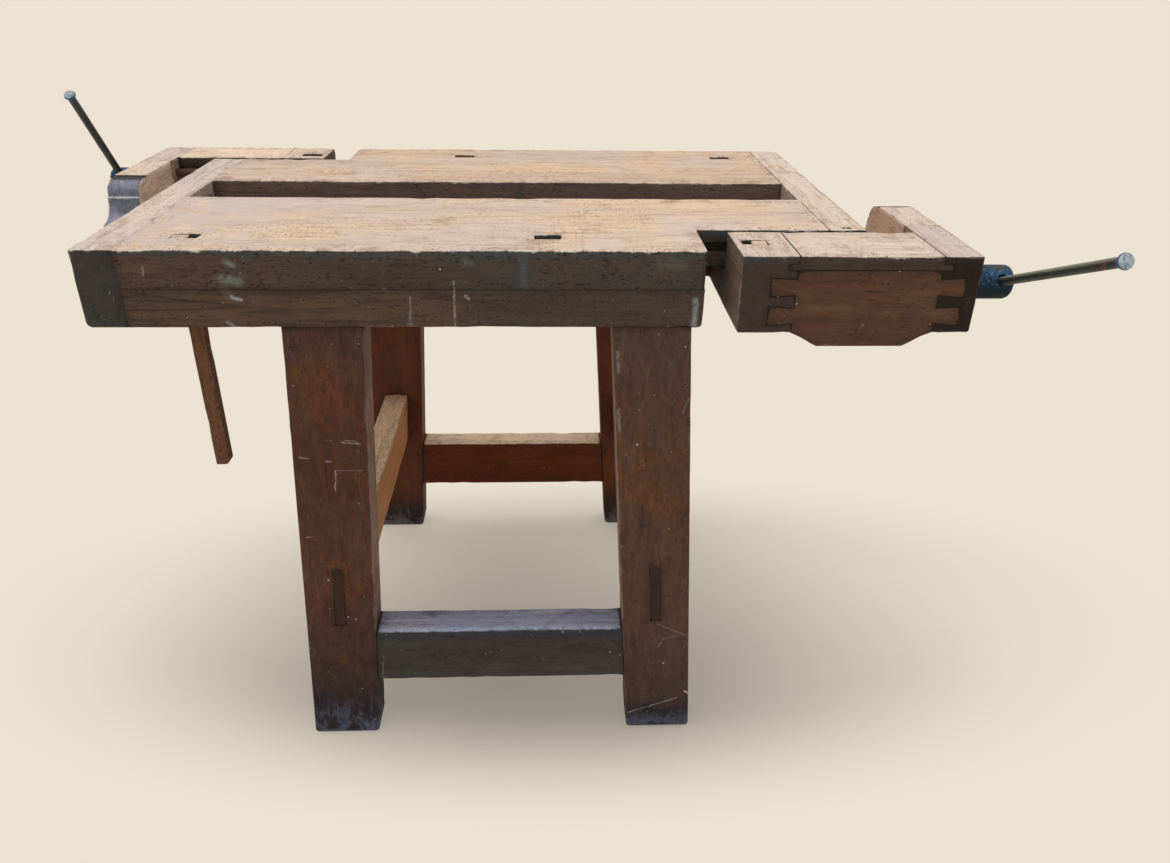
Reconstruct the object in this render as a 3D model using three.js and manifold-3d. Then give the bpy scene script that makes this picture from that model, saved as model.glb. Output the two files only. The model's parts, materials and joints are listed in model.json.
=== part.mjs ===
// A joiner's bench with a tail vise at each end, as a three.js scene graph.
// Millimetres. X runs along the bench, +Y to its back, +Z up.
// The bench is alike when turned half round, so each half is built once and turned.
import * as THREE from 'three';
import { mergeVertices } from 'three/addons/utils/BufferGeometryUtils.js';
import Module from 'manifold-3d';

const wasm = await Module();
wasm.setup();

// Top
const benchHeight = 800;
const topLength = 1000;
const topWidth = 636;
const plankThickness = 50;
const edgeStripThickness = 50;
const endCapWidth = 52;
const toolWellWidth = 104;
const wellBoardThickness = 12;
const wellBoardLap = 12;
const notchDepth = 98;
const notchLength = 230;
const tongueLength = 18;
const tongueThickness = 16;
const tongueShoulder = 18;

// Bench dogs and their holes
const dogHoleLength = 21;
const dogHoleWidth = 19;
const dogHoleInset = 62;
const dogHoleFromEnd = 111;
const dogHoleFromJaw = 203;
const dogRecessLength = 12;
const dogRecessDepth = 12;
const dogSink = 1.5;
const dogPlay = 0.5;
const dogTipChamfer = 5;
const longDogLength = 327;
const shortDogLength = 94;
const dogHoleFromJawFace = 33;

// Legs, stretchers and bearers
const legWidth = 102;
const legDepth = 56;
const legInset = { x: 10, y: 4 };
const legSplay = { x: 42, y: 11 };
const legFrameShift = -3;
const legTenonWidth = 60;
const legTenonLength = 35;
const tenonThickness = 16;
const railThickness = 50;
const railLow = 112;
const railHeight = 96;
const railSetBack = 4;
const railTenonLength = 70;
const railTenonShoulder = 18;
const sideRailThickness = 44;
const sideRailLow = 224;
const sideRailHeight = 102;
const bearerWidth = 50;
const bearerTenonLength = 20;
const bearerTenonWidth = 30;
const bearerTenonHeight = 24;

// Vise body
const viseLength = 300;
const viseBackGap = 9;
const jawBlockLength = 70;
const endBlockThickness = 50;
const coverThickness = 18;
const coverTongueLength = 12;
const coverTongueThickness = 8;
const frontBoardThickness = 22;
const frontBoardDrop = 18.5;
const frontBoardDropRun = 34;
const tailLength = 32;
const tailRootHeight = 19;
const tailEndHeight = 25;
const tailDrops = [40, 77];
const guideTongueThickness = 12;
const guideTongueDepth = 12;
const guideTongueBearing = 23;
const guideFootLength = 53;
const guideFootInset = 2;
const guideFootTenon = [26, 24];
const guideFootTenonLength = 17;
const guideRailWidth = 30;
const guideRailFromWell = 20;
const guideRailEnds = 4;

// Arm of the vise, with its moulded end
const armJointInset = 25;
const armLength = 104;
const armTenonLength = 30;
const armTenonShoulder = 20;
const mouldFillet = 3;
const mouldStep = 7;
const mouldRound = [31, 23];
const mouldBead = [3, 4];
const mouldCove = [35, 32];
const mouldLip = 10;
const mouldUndercut = 30;

// Vise screw, nut, hub and tommy bar
const screwRadius = 12;
const screwTip = 4;
const screwClear = 5;
const screwTenonRadius = 9;
const screwTenonLength = 26;
const screwDrop = 50;
const nutRadius = 16;
const nutFlange = 42;
const nutFlangeThickness = 6;
const nutBlockLength = 38;
const nutBlockDrop = 32;
const nutBlockLift = 4;
const nutBlockTenon = [22, 30];
const nutBlockTenonLength = 25;
const washerRadius = 26;
const washerThickness = 3;
const collarRadius = 20;
const collarLength = 11;
const collarPinRadius = 2.5;
const hubRadius = 22;
const hubRound = 9;
const hubBarToEnd = 18;
const hubPinRadius = 3;
const hubPinInset = 12;
const barRadius = 6;
const barLength = 303;
const barHoleRadius = 7.5;
const barFlareRadius = 9;
const barFlareLength = 9;
const barFlareRim = 4;

// End cap bolts
const boltRadius = 5;
const boltHeadRadius = 9;
const boltHeadThickness = 6;
const boltReach = 70;
const boltSink = 8;

// Gaps: a glue line, a fitted joint, and a running clearance
const seam = 0.2;
const fit = 0.3;
const running = 1;
const over = 5;

// What differs between the two ends: how far each vise stands open and proud, and how its bar lies
const ends = {
  front: {
    turn: 0, opening: 39, proud: 20, hubStandOff: 46, barAngle: 23.2, barReach: 268,
    cap: 'right', left: 'front_left', right: 'front_right', dogs: true,
  },
  rear: {
    turn: Math.PI, opening: 44, proud: 3, hubStandOff: 70, barAngle: 127.2, barReach: 205,
    cap: 'left', left: 'rear_right', right: 'rear_left', dogs: false,
  },
};

// Places that follow from the sizes
const topThickness = plankThickness + edgeStripThickness;
const underside = benchHeight - topThickness;
const plankZ = benchHeight - plankThickness;
const capInner = topLength / 2 - endCapWidth;
const capOuter = topLength / 2;
const edgeY = topWidth / 2;
const wellY = toolWellWidth / 2;
const notchY = edgeY - notchDepth;
const jawX = capOuter - notchLength;
const dogHolesX = [dogHoleFromEnd - capOuter, jawX - dogHoleFromJaw];
const plankEnd = capInner - seam;
const boltZ = plankZ + plankThickness / 2;
const tongueZ = around(boltZ, tongueThickness);
const boltYs = { own: (notchY + wellY) / 2, other: (edgeY + wellY) / 2 };
const legTopX = jawX - legInset.x;
const legTopY = edgeY - legInset.y;
const legFootX = legTopX + legSplay.x;
const legFootY = legTopY + legSplay.y;
const legSlopeX = legSplay.x / underside;
const legSlopeY = legSplay.y / underside;
const legCentreX = legTopX - legWidth / 2;
const legCentreY = legTopY - legDepth / 2;
const armJointY = notchY - armJointInset;
const armEndY = armJointY - armLength;
const screwZ = benchHeight - screwDrop;
const coverZ = benchHeight - coverThickness;
const guideTongueZ = [coverZ - guideTongueThickness, coverZ - seam];
const guideRailY = wellY + wellBoardLap + guideRailFromWell;
const guideFootEndY = guideRailY + guideRailWidth + running;

const legOuterX = (z) => legTopX + legSlopeX * (underside - z);
const legFaceY = (z) => legTopY + legSlopeY * (underside - z);

const material = (color, roughness, metalness = 0) => () =>
  new THREE.MeshStandardMaterial({ color, roughness, metalness, flatShading: true });
const topWood = material(0xd6bea8, 0.75);
const edgeWood = material(0x4c3c36, 0.7);
const legWood = material(0x583828, 0.65);
const railWood = material(0x6e4a34, 0.7);
const viseWood = material(0x584030, 0.65);
const blockWood = material(0x483a38, 0.7);
const hiddenWood = material(0x8c6844, 0.8);
const hubPaint = material(0x3c64a0, 0.5, 0.3);
const barSteel = material(0x6c706a, 0.45, 0.8);
const screwSteel = material(0x5a5a58, 0.4, 0.9);
const castIron = material(0x3a3a3c, 0.6, 0.8);

// A closed three.js geometry as a solid for joining and cutting
function solid(geometry) {
  const bare = geometry.clone();
  bare.deleteAttribute('normal');
  bare.deleteAttribute('uv');
  const merged = mergeVertices(bare);
  const index = merged.index.array;
  const kept = [];
  for (let i = 0; i < index.length; i += 3) {
    const [a, b, c] = [index[i], index[i + 1], index[i + 2]];
    if (a !== b && b !== c && c !== a) kept.push(a, b, c);
  }
  return new wasm.Manifold(new wasm.Mesh({
    numProp: 3,
    vertProperties: Float32Array.from(merged.attributes.position.array),
    triVerts: Uint32Array.from(kept),
  }));
}

function geometryOf(body) {
  const mesh = body.getMesh();
  const geometry = new THREE.BufferGeometry();
  geometry.setAttribute('position', new THREE.BufferAttribute(Float32Array.from(mesh.vertProperties), 3));
  geometry.setIndex(new THREE.BufferAttribute(Uint32Array.from(mesh.triVerts), 1));
  return geometry;
}

// Joins the added geometries to the base, then takes the cut ones away
function carve(base, { add = [], cut = [] }) {
  let body = solid(base);
  for (const piece of add) body = body.add(solid(piece));
  for (const piece of cut) body = body.subtract(solid(piece));
  return geometryOf(body);
}

function box(x, y, z) {
  const geometry = new THREE.BoxGeometry(x[1] - x[0], y[1] - y[0], z[1] - z[0]);
  return geometry.translate((x[0] + x[1]) / 2, (y[0] + y[1]) / 2, (z[0] + z[1]) / 2);
}

function around(centre, size) {
  return [centre - size / 2, centre + size / 2];
}

function grown(range, by) {
  return [range[0] - by, range[1] + by];
}

function shapeOf(outline) {
  if (outline instanceof THREE.Shape) return outline;
  return new THREE.Shape(outline.map(([a, b]) => new THREE.Vector2(a, b)));
}

function prism(outline, low, high, basis) {
  const options = { depth: high - low, bevelEnabled: false, curveSegments: 6 };
  return new THREE.ExtrudeGeometry(shapeOf(outline), options).translate(0, 0, low).applyMatrix4(basis);
}

const axisX = new THREE.Vector3(1, 0, 0);
const axisY = new THREE.Vector3(0, 1, 0);
const axisZ = new THREE.Vector3(0, 0, 1);
const alongX = new THREE.Matrix4().makeBasis(axisY, axisZ, axisX);
const alongY = new THREE.Matrix4().makeBasis(axisX, axisZ, axisY.clone().negate());
const alongZ = new THREE.Matrix4();

// Outlines drawn in (y, z), (x, z) and (x, y)
const prismX = (outline, x) => prism(outline, x[0], x[1], alongX);
const prismY = (outline, y) => prism(outline, -y[1], -y[0], alongY);
const prismZ = (outline, z) => prism(outline, z[0], z[1], alongZ);

// A turned piece about the X axis: profile points are (radius, x)
function turned(profile, y, z, segments = 24) {
  const points = profile.map(([radius, x]) => new THREE.Vector2(radius, x));
  return new THREE.LatheGeometry(points, segments).rotateZ(-Math.PI / 2).translate(0, y, z);
}

function rod(radius, x, y, z, segments = 24) {
  return turned([[0, x[0]], [radius, x[0]], [radius, x[1]], [0, x[1]]], y, z, segments);
}

function ring(inner, outer, x, y, z) {
  const profile = [[inner, x[0]], [outer, x[0]], [outer, x[1]], [inner, x[1]], [inner, x[0]]];
  return turned(profile, y, z);
}

function uprightRod(radius, length, x, y, z) {
  return new THREE.CylinderGeometry(radius, radius, length, 12).rotateX(Math.PI / 2).translate(x, y, z);
}

const bench = new THREE.Group();

function place(group, name, geometry, finish) {
  const mesh = new THREE.Mesh(geometry, finish());
  mesh.name = name;
  group.add(mesh);
}

// A dog hole through the top, with a shallow finger recess on its side towards `facing`
function dogHole(x, y, facing) {
  const recess = [dogHoleLength / 2 - over, dogHoleLength / 2 + dogRecessLength].map((d) => x + facing * d);
  const recessX = [Math.min(...recess), Math.max(...recess)];
  const width = around(y, dogHoleWidth);
  return [
    box(around(x, dogHoleLength), width, [underside - over, benchHeight + over]),
    box(recessX, width, [benchHeight - dogRecessDepth, benchHeight + over]),
  ];
}

// A plain wooden dog just below the top; its foot's corner is cut off on the side towards `facing`
function dog(x, y, facing, length) {
  const half = dogHoleLength / 2 - dogPlay;
  const top = benchHeight - dogSink;
  const foot = top - length;
  const outline = [
    [-half, foot], [half - dogTipChamfer, foot], [half, foot + dogTipChamfer], [half, top], [-half, top],
  ].map(([u, z]) => [x + facing * u, z]);
  return prismY(facing > 0 ? outline : outline.reverse(), around(y, dogHoleWidth - 2 * dogPlay));
}

function addTop(group, side) {
  const holes = dogHolesX.flatMap((x) => dogHole(x, dogHoleInset - edgeY, 1));
  const tongues = {
    right: [tongueShoulder - notchY, -wellY - tongueShoulder],
    left: [tongueShoulder - edgeY, -wellY - tongueShoulder],
  };
  const boltHole = (y, sign) => {
    const reach = [capInner - boltReach - fit, capInner + tongueLength + over].map((x) => sign * x);
    return rod(boltRadius + fit, reach.sort((a, b) => a - b), y, boltZ);
  };
  const guideGroove = box(
    [jawX - over, capOuter + over],
    [-notchY - over, guideTongueDepth + 2 * running - notchY],
    grown(guideTongueZ, running),
  );
  place(group, `${side.name}_plank`, carve(
    prismZ([
      [-plankEnd, -edgeY], [jawX, -edgeY], [jawX, -notchY],
      [plankEnd, -notchY], [plankEnd, -wellY], [-plankEnd, -wellY],
    ], [plankZ, benchHeight]),
    {
      add: [
        box([plankEnd - over, capInner + tongueLength], tongues.right, tongueZ),
        box([-capInner - tongueLength, over - plankEnd], tongues.left, tongueZ),
      ],
      cut: [...holes, guideGroove, boltHole(-boltYs.own, 1), boltHole(-boltYs.other, -1)],
    },
  ), topWood);

  const mortises = [];
  for (const sign of [-1, 1]) {
    const centre = sign * legCentreX + side.legShift;
    mortises.push(box(
      grown(around(centre, legTenonWidth), fit),
      grown(around(-legCentreY, tenonThickness), fit),
      [underside - over, underside + legTenonLength + fit],
    ));
    mortises.push(box(
      grown(around(centre, bearerTenonWidth), fit),
      [-notchY - bearerTenonLength - fit, over - notchY],
      grown(around(underside + edgeStripThickness / 2, bearerTenonHeight), fit),
    ));
  }
  place(group, `${side.name}_edge_strip`, carve(
    box([-plankEnd, jawX], [-edgeY, -notchY], [underside, plankZ - seam]),
    { cut: [...holes, ...mortises] },
  ), edgeWood);

  const boltY = { own: -boltYs.own, other: boltYs.other };
  const mouths = [tongues.right, tongues.left.map((y) => -y).reverse()];
  const capCuts = mouths.map((y) => box(
    [capInner - over, capInner + tongueLength + fit], grown(y, fit), grown(tongueZ, fit),
  ));
  for (const y of Object.values(boltY)) {
    capCuts.push(rod(boltRadius + fit, [capInner - over, capOuter + over], y, boltZ));
    capCuts.push(rod(boltHeadRadius + fit, [capOuter - boltSink, capOuter + over], y, boltZ));
  }
  const nutTenon = nutBlockTenonAt(fit);
  place(group, `${side.cap}_end_cap`, carve(
    box([capInner, capOuter], [-notchY, edgeY], [underside, benchHeight]),
    { cut: [...capCuts, guideGroove, nutTenon] },
  ), topWood);
  for (const [key, y] of Object.entries(boltY)) {
    const seat = capOuter - boltSink + seam;
    const tip = capInner - boltReach;
    place(group, `${side.cap}_cap_bolt_${key === 'own' ? 1 : 2}`, turned([
      [0, tip], [boltRadius, tip], [boltRadius, seat],
      [boltHeadRadius, seat], [boltHeadRadius, seat + boltHeadThickness], [0, seat + boltHeadThickness],
    ], y, boltZ, 16), castIron);
  }
}

// The stub tenon that holds the nut block in the end cap's side
function nutBlockTenonAt(clear) {
  const middle = (underside + nutBlockLift + benchHeight - nutBlockDrop) / 2;
  return box(
    grown(around(capOuter - nutBlockLength / 2, nutBlockTenon[0]), clear),
    [-notchY - over, nutBlockTenonLength + clear - notchY],
    grown(around(middle, nutBlockTenon[1]), clear),
  );
}

function addLegs(group, side) {
  const railZ = [railLow, railLow + railHeight];
  const railMid = railLow + railHeight / 2;
  const railTenonZ = [railZ[0] + railTenonShoulder, railZ[1] - railTenonShoulder];
  const railTenonY = around(legDepth / 2 - legFaceY(railMid), tenonThickness);
  const railInner = (z) => legOuterX(z) - legWidth;
  const railTenonX = railInner(railMid) + railTenonLength;
  const sideZ = [sideRailLow, sideRailLow + sideRailHeight];
  const sideMid = sideRailLow + sideRailHeight / 2;
  const sideX = legOuterX(sideMid) - legWidth / 2;
  const leaning = (sign) => new THREE.Matrix4().set(
    1, 0, -sign * legSlopeX, sign * legSlopeX * sideMid,
    0, 1, 0, 0,
    0, 0, 1, 0,
    0, 0, 0, 1,
  );

  for (const [sign, name] of [[-1, side.left], [1, side.right]]) {
    const leg = box(around(0, legWidth), around(0, legDepth), [0, underside - seam]);
    leg.applyMatrix4(new THREE.Matrix4().set(
      1, 0, -sign * legSlopeX, sign * (legFootX - legWidth / 2) + side.legShift,
      0, 1, legSlopeY, legDepth / 2 - legFootY,
      0, 0, 1, 0,
      0, 0, 0, 1,
    ));
    const tenon = box(
      around(sign * legCentreX + side.legShift, legTenonWidth),
      around(-legCentreY, tenonThickness),
      [underside - over, underside + legTenonLength],
    );
    const railMortise = [railInner(railZ[1]) - over, railTenonX + fit].map((x) => sign * x + side.legShift);
    place(group, `${name}_leg`, carve(leg, {
      add: [tenon],
      cut: [
        box(railMortise.sort((a, b) => a - b), grown(railTenonY, fit), grown(railTenonZ, fit)),
        box(
          grown(around(sign * sideX + side.legShift, tenonThickness), fit),
          [-legFootY - over, over + legDepth - legTopY],
          grown(sideZ, fit),
        ).applyMatrix4(leaning(sign)),
      ],
    }), legWood);
  }

  const shoulder = railZ.map((z) => railInner(z) - seam);
  const railFace = railSetBack - legFaceY(railMid);
  place(group, `${side.name}_stretcher`, carve(
    prismY([
      [-shoulder[0], railZ[0]], [shoulder[0], railZ[0]], [shoulder[1], railZ[1]], [-shoulder[1], railZ[1]],
    ], [railFace, railFace + railThickness]),
    { add: [box([-railTenonX, railTenonX], railTenonY, railTenonZ)] },
  ).translate(side.legShift, 0, 0), railWood);

  const rail = (inset) => {
    const y = sideZ.map((z) => legFaceY(z) - inset);
    return [[-y[0], sideZ[0]], [y[0], sideZ[0]], [y[1], sideZ[1]], [-y[1], sideZ[1]]];
  };
  place(group, `${side.cap}_stretcher`, carve(
    prismX(rail(legDepth + seam), around(sideX, sideRailThickness)),
    { add: [prismX(rail(fit), around(sideX, tenonThickness))] },
  ).applyMatrix4(leaning(1)).translate(side.legShift, 0, 0), railWood);

  const bearerEnd = notchY - seam;
  const bearerX = legCentreX + side.legShift;
  const wellSeat = wellY + wellBoardLap + fit;
  place(group, `${side.cap}_bearer`, carve(
    box(around(bearerX, bearerWidth), [-bearerEnd, bearerEnd], [underside, plankZ - seam]),
    {
      add: [box(
        around(bearerX, bearerTenonWidth),
        [-notchY - bearerTenonLength, notchY + bearerTenonLength],
        around(underside + edgeStripThickness / 2, bearerTenonHeight),
      )],
      cut: [box(
        around(bearerX, bearerWidth + 2 * over),
        [-wellSeat, wellSeat],
        [plankZ - wellBoardThickness - 2 * seam, plankZ + over],
      )],
    },
  ), hiddenWood);
}

// Where one vise's pieces lie: x from the jaw's face outwards, y from the bench's middle
function vise(side) {
  const jaw = jawX + side.opening;
  const outer = jaw + viseLength;
  const back = notchY + viseBackGap;
  const face = edgeY + side.proud;
  return {
    jaw, outer, back, face,
    jawBack: jaw + jawBlockLength,
    endInner: outer - endBlockThickness,
    boardInner: face - frontBoardThickness,
    axisY: -(back + face) / 2,
    barX: outer + side.hubStandOff,
  };
}

// The front board's dovetail tails, two at each end
function tails(at, grow) {
  const pieces = [];
  for (const [root, sign] of [[at.jawBack, -1], [at.endInner, 1]]) {
    for (const drop of tailDrops) {
      const z = benchHeight - drop;
      const end = root + sign * (tailLength + grow);
      const start = root - sign * over;
      const outline = [
        [start, z - tailRootHeight / 2 - grow], [end, z - tailEndHeight / 2 - grow],
        [end, z + tailEndHeight / 2 + grow], [start, z + tailRootHeight / 2 + grow],
      ];
      const y = [-at.face - (grow ? over : 0), grow - at.boardInner];
      pieces.push(prismY(sign > 0 ? outline : outline.reverse(), y));
    }
  }
  return pieces;
}

// The tongues of the cover board, which its neighbours are grooved for at both ends
function coverTongue(at, grow) {
  const reach = coverTongueLength + grow;
  return box(
    [at.jawBack - reach, at.endInner + reach],
    [-at.face - (grow ? over : 0), grow - at.back],
    grown([coverZ, coverZ + coverTongueThickness], grow),
  );
}

function guideFootTenonAt(at, clear) {
  return box(
    grown(around(at.jaw + guideFootInset + guideFootLength / 2, guideFootTenon[0]), clear),
    [-at.back - guideFootTenonLength - clear, over - at.back],
    grown(around((underside + plankZ) / 2, guideFootTenon[1]), clear),
  );
}

function addViseBody(group, side) {
  const at = vise(side);
  const depth = [-at.face, -at.back];
  const height = [underside, benchHeight];
  const between = [at.jawBack + seam, at.endInner - seam];
  const name = `${side.name}_vise`;

  place(group, `${name}_jaw_block`, carve(box([at.jaw, at.jawBack], depth, height), {
    cut: [
      ...tails(at, fit),
      ...dogHole(at.jaw + dogHoleFromJawFace, dogHoleInset - at.face, -1),
      coverTongue(at, fit),
      guideFootTenonAt(at, fit),
    ],
  }), blockWood);

  const boardTop = coverZ - seam;
  place(group, `${name}_front_board`, carve(
    prismY([
      [between[0], underside], [between[0] + frontBoardDropRun, underside - frontBoardDrop],
      [between[1] - frontBoardDropRun, underside - frontBoardDrop], [between[1], underside],
      [between[1], boardTop], [between[0], boardTop],
    ], [-at.face, -at.boardInner]),
    { add: tails(at, 0) },
  ), viseWood);

  place(group, `${name}_cover_board`, carve(
    box(between, depth, [coverZ, benchHeight]), { add: [coverTongue(at, 0)] },
  ), topWood);

  place(group, `${name}_guide_tongue`, box(
    between, [-at.back - guideTongueBearing, guideTongueDepth - notchY], guideTongueZ,
  ), hiddenWood);

  const armTenon = (clear) => box(
    grown(around(at.outer - endBlockThickness / 2, tenonThickness), clear),
    [-armJointY - armTenonLength - clear, over - armJointY],
    grown([underside + armTenonShoulder, benchHeight - armTenonShoulder], clear),
  );
  place(group, `${name}_end_block`, carve(
    box([at.endInner, at.outer], [-at.face, -armJointY], height),
    { cut: [...tails(at, fit), coverTongue(at, fit), armTenon(fit), screwBore(at, running)] },
  ), blockWood);

  place(group, `${name}_arm`, carve(
    prismX(armOutline(), [at.endInner, at.outer]), { add: [armTenon(0)] },
  ), blockWood);

  place(group, `${name}_guide_foot`, carve(box(
    [at.jaw + guideFootInset, at.jaw + guideFootInset + guideFootLength],
    [seam - at.back, -guideFootEndY],
    [underside, plankZ - 2 * running],
  ), { add: [guideFootTenonAt(at, 0)] }), hiddenWood);
}

// The arm from the side, in (y, z): fillet, round, bead, cove and lip down its free end
function armOutline() {
  const top = benchHeight;
  const roundY = mouldStep - armEndY;
  const roundZ = top - mouldFillet;
  const beadY = roundY + mouldRound[0] + mouldBead[0];
  const beadZ = roundZ - mouldRound[1] - mouldBead[1];
  const lipY = beadY + mouldCove[0];
  const lipZ = beadZ - mouldCove[1];
  const outline = new THREE.Shape();
  outline.moveTo(seam - armJointY, underside);
  outline.lineTo(lipY - mouldUndercut, underside);
  outline.lineTo(lipY, lipZ - mouldLip);
  outline.lineTo(lipY, lipZ);
  outline.absellipse(lipY, beadZ, mouldCove[0], mouldCove[1], -Math.PI / 2, -Math.PI, true);
  outline.lineTo(beadY, beadZ + mouldBead[1]);
  outline.lineTo(roundY + mouldRound[0], beadZ + mouldBead[1]);
  outline.absellipse(roundY, roundZ - mouldRound[1], mouldRound[0], mouldRound[1], 0, Math.PI / 2, false);
  outline.lineTo(-armEndY, roundZ);
  outline.lineTo(-armEndY, top);
  outline.lineTo(seam - armJointY, top);
  return outline;
}

function screwBore(at, clear) {
  return rod(screwRadius + clear, [at.jaw, at.outer + over], at.axisY, screwZ);
}

// The nut is fixed to the bench inside the vise's hollow; a rail under the plank steadies the guide foot
function addNut(group, side) {
  const at = vise(side);
  const x = [capOuter - nutBlockLength, capOuter];
  const name = `${side.name}_vise`;
  place(group, `${name}_nut_block`, carve(box(
    x, [2 * running - at.boardInner, -notchY - seam],
    [underside + nutBlockLift, benchHeight - nutBlockDrop],
  ), {
    add: [nutBlockTenonAt(0)],
    cut: [rod(nutRadius + fit, grown(x, over), at.axisY, screwZ)],
  }), hiddenWood);
  const flange = box(
    [x[1] + seam, x[1] + nutFlangeThickness], around(at.axisY, nutFlange), around(screwZ, nutFlange),
  );
  place(group, `${name}_nut`, carve(rod(nutRadius, [x[0], x[1] + nutFlangeThickness], at.axisY, screwZ), {
    add: [flange],
    cut: [screwBore(at, fit)],
  }), castIron);
  place(group, `${name}_guide_rail`, box(
    [jawX + guideRailEnds, capInner - guideRailEnds],
    [-guideRailY - guideRailWidth, -guideRailY],
    [underside, plankZ - seam],
  ), hiddenWood);
}

function addScrew(group, side) {
  const at = vise(side);
  const name = `${side.name}_vise`;
  const seat = at.outer + seam + washerThickness;
  const hubEnd = at.barX + hubBarToEnd;
  const collarX = [at.endInner - running - collarLength, at.endInner - running];
  const collarMid = at.endInner - running - collarLength / 2;
  const hubPinX = seat + hubPinInset;
  const tip = at.jawBack + screwClear;
  const socket = seat + screwTenonLength;
  const hubPin = (clear) =>
    uprightRod(hubPinRadius + clear, 2 * (hubRadius + over), hubPinX, at.axisY, screwZ);
  const collarPin = (clear) =>
    uprightRod(collarPinRadius + clear, 2 * (collarRadius + over), collarMid, at.axisY, screwZ);

  place(group, `${name}_screw`, carve(turned([
    [0, tip], [screwRadius - screwTip / 2, tip], [screwRadius, tip + screwTip], [screwRadius, seat],
    [screwTenonRadius, seat], [screwTenonRadius, socket], [0, socket],
  ], at.axisY, screwZ), { cut: [hubPin(fit), collarPin(fit)] }), screwSteel);

  place(group, `${name}_washer`, ring(
    screwRadius + fit, washerRadius, [at.outer + seam, seat], at.axisY, screwZ,
  ), castIron);

  const hub = [[0, seat + seam], [hubRadius, seat + seam]];
  for (let step = 0; step <= 4; step += 1) {
    const angle = (step / 4) * (Math.PI / 2);
    hub.push([
      hubRadius - hubRound * (1 - Math.cos(angle)),
      hubEnd - hubRound * (1 - Math.sin(angle)),
    ]);
  }
  hub.push([0, hubEnd]);
  place(group, `${name}_hub`, carve(turned(hub, at.axisY, screwZ), {
    cut: [
      rod(screwTenonRadius + fit, [seat - over, socket + fit], at.axisY, screwZ),
      hubPin(fit),
      barAlong(side, at, new THREE.CylinderGeometry(barHoleRadius, barHoleRadius, 3 * hubRadius, 24), 0, 0),
    ],
  }), hubPaint);

  const pinLength = 2 * hubRadius - 2 * fit;
  place(group, `${name}_hub_pin`, uprightRod(hubPinRadius, pinLength, hubPinX, at.axisY, screwZ), screwSteel);

  place(group, `${name}_collar`, carve(
    ring(screwRadius + fit, collarRadius, collarX, at.axisY, screwZ), { cut: [collarPin(fit)] },
  ), castIron);
  const collarPinLength = 2 * collarRadius - 2 * fit;
  place(
    group, `${name}_collar_pin`,
    uprightRod(collarPinRadius, collarPinLength, collarMid, at.axisY, screwZ), screwSteel,
  );

  const half = barLength / 2;
  const profile = [
    [0, -half], [barFlareRadius, -half],
    [barFlareRadius, barFlareRim - half], [barRadius, barFlareLength - half],
    [barRadius, half - barFlareLength], [barFlareRadius, half - barFlareRim],
    [barFlareRadius, half], [0, half],
  ].map(([radius, y]) => new THREE.Vector2(radius, y));
  const sag = barHoleRadius - barRadius - fit;
  const bar = barAlong(side, at, new THREE.LatheGeometry(profile, 20), side.barReach - half, sag);
  place(group, `${name}_tommy_bar`, bar, barSteel);
}

// Lays a piece made along Y on the tommy bar's line through the hub, moved out along it and down across it
function barAlong(side, at, geometry, out, sag) {
  const angle = THREE.MathUtils.degToRad(side.barAngle);
  return geometry
    .translate(0, out, 0)
    .rotateX(Math.PI - angle)
    .translate(at.barX, at.axisY, screwZ - sag);
}

for (const [name, end] of Object.entries(ends)) {
  const side = { name, ...end, legShift: Math.round(Math.cos(end.turn)) * legFrameShift };
  const half = new THREE.Group();
  half.rotation.z = side.turn;
  addTop(half, side);
  addLegs(half, side);
  addViseBody(half, side);
  addNut(half, side);
  addScrew(half, side);
  if (side.dogs) {
    const at = vise(side);
    place(half, 'long_dog', dog(dogHolesX[0], dogHoleInset - edgeY, 1, longDogLength), viseWood);
    const jawDogX = at.jaw + dogHoleFromJawFace;
    place(half, 'short_dog', dog(jawDogX, dogHoleInset - at.face, -1, shortDogLength), viseWood);
  }
  bench.add(half);
}

place(bench, 'tool_well_board', box(
  [-plankEnd, plankEnd],
  [-wellY - wellBoardLap, wellY + wellBoardLap],
  [plankZ - seam - wellBoardThickness, plankZ - seam],
), hiddenWood);

// The origin lies on the floor, under the middle of the whole object's box
const extent = new THREE.Box3().setFromObject(bench, true);
const middle = extent.getCenter(new THREE.Vector3());
bench.position.set(-middle.x, -middle.y, -extent.min.z);

const model = new THREE.Group();
model.add(bench);

export default model;
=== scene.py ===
import json
import math
from types import SimpleNamespace

import bmesh
import bpy
import numpy as np
from mathutils import Matrix, Vector, noise
from mathutils.bvhtree import BVHTree

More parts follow.
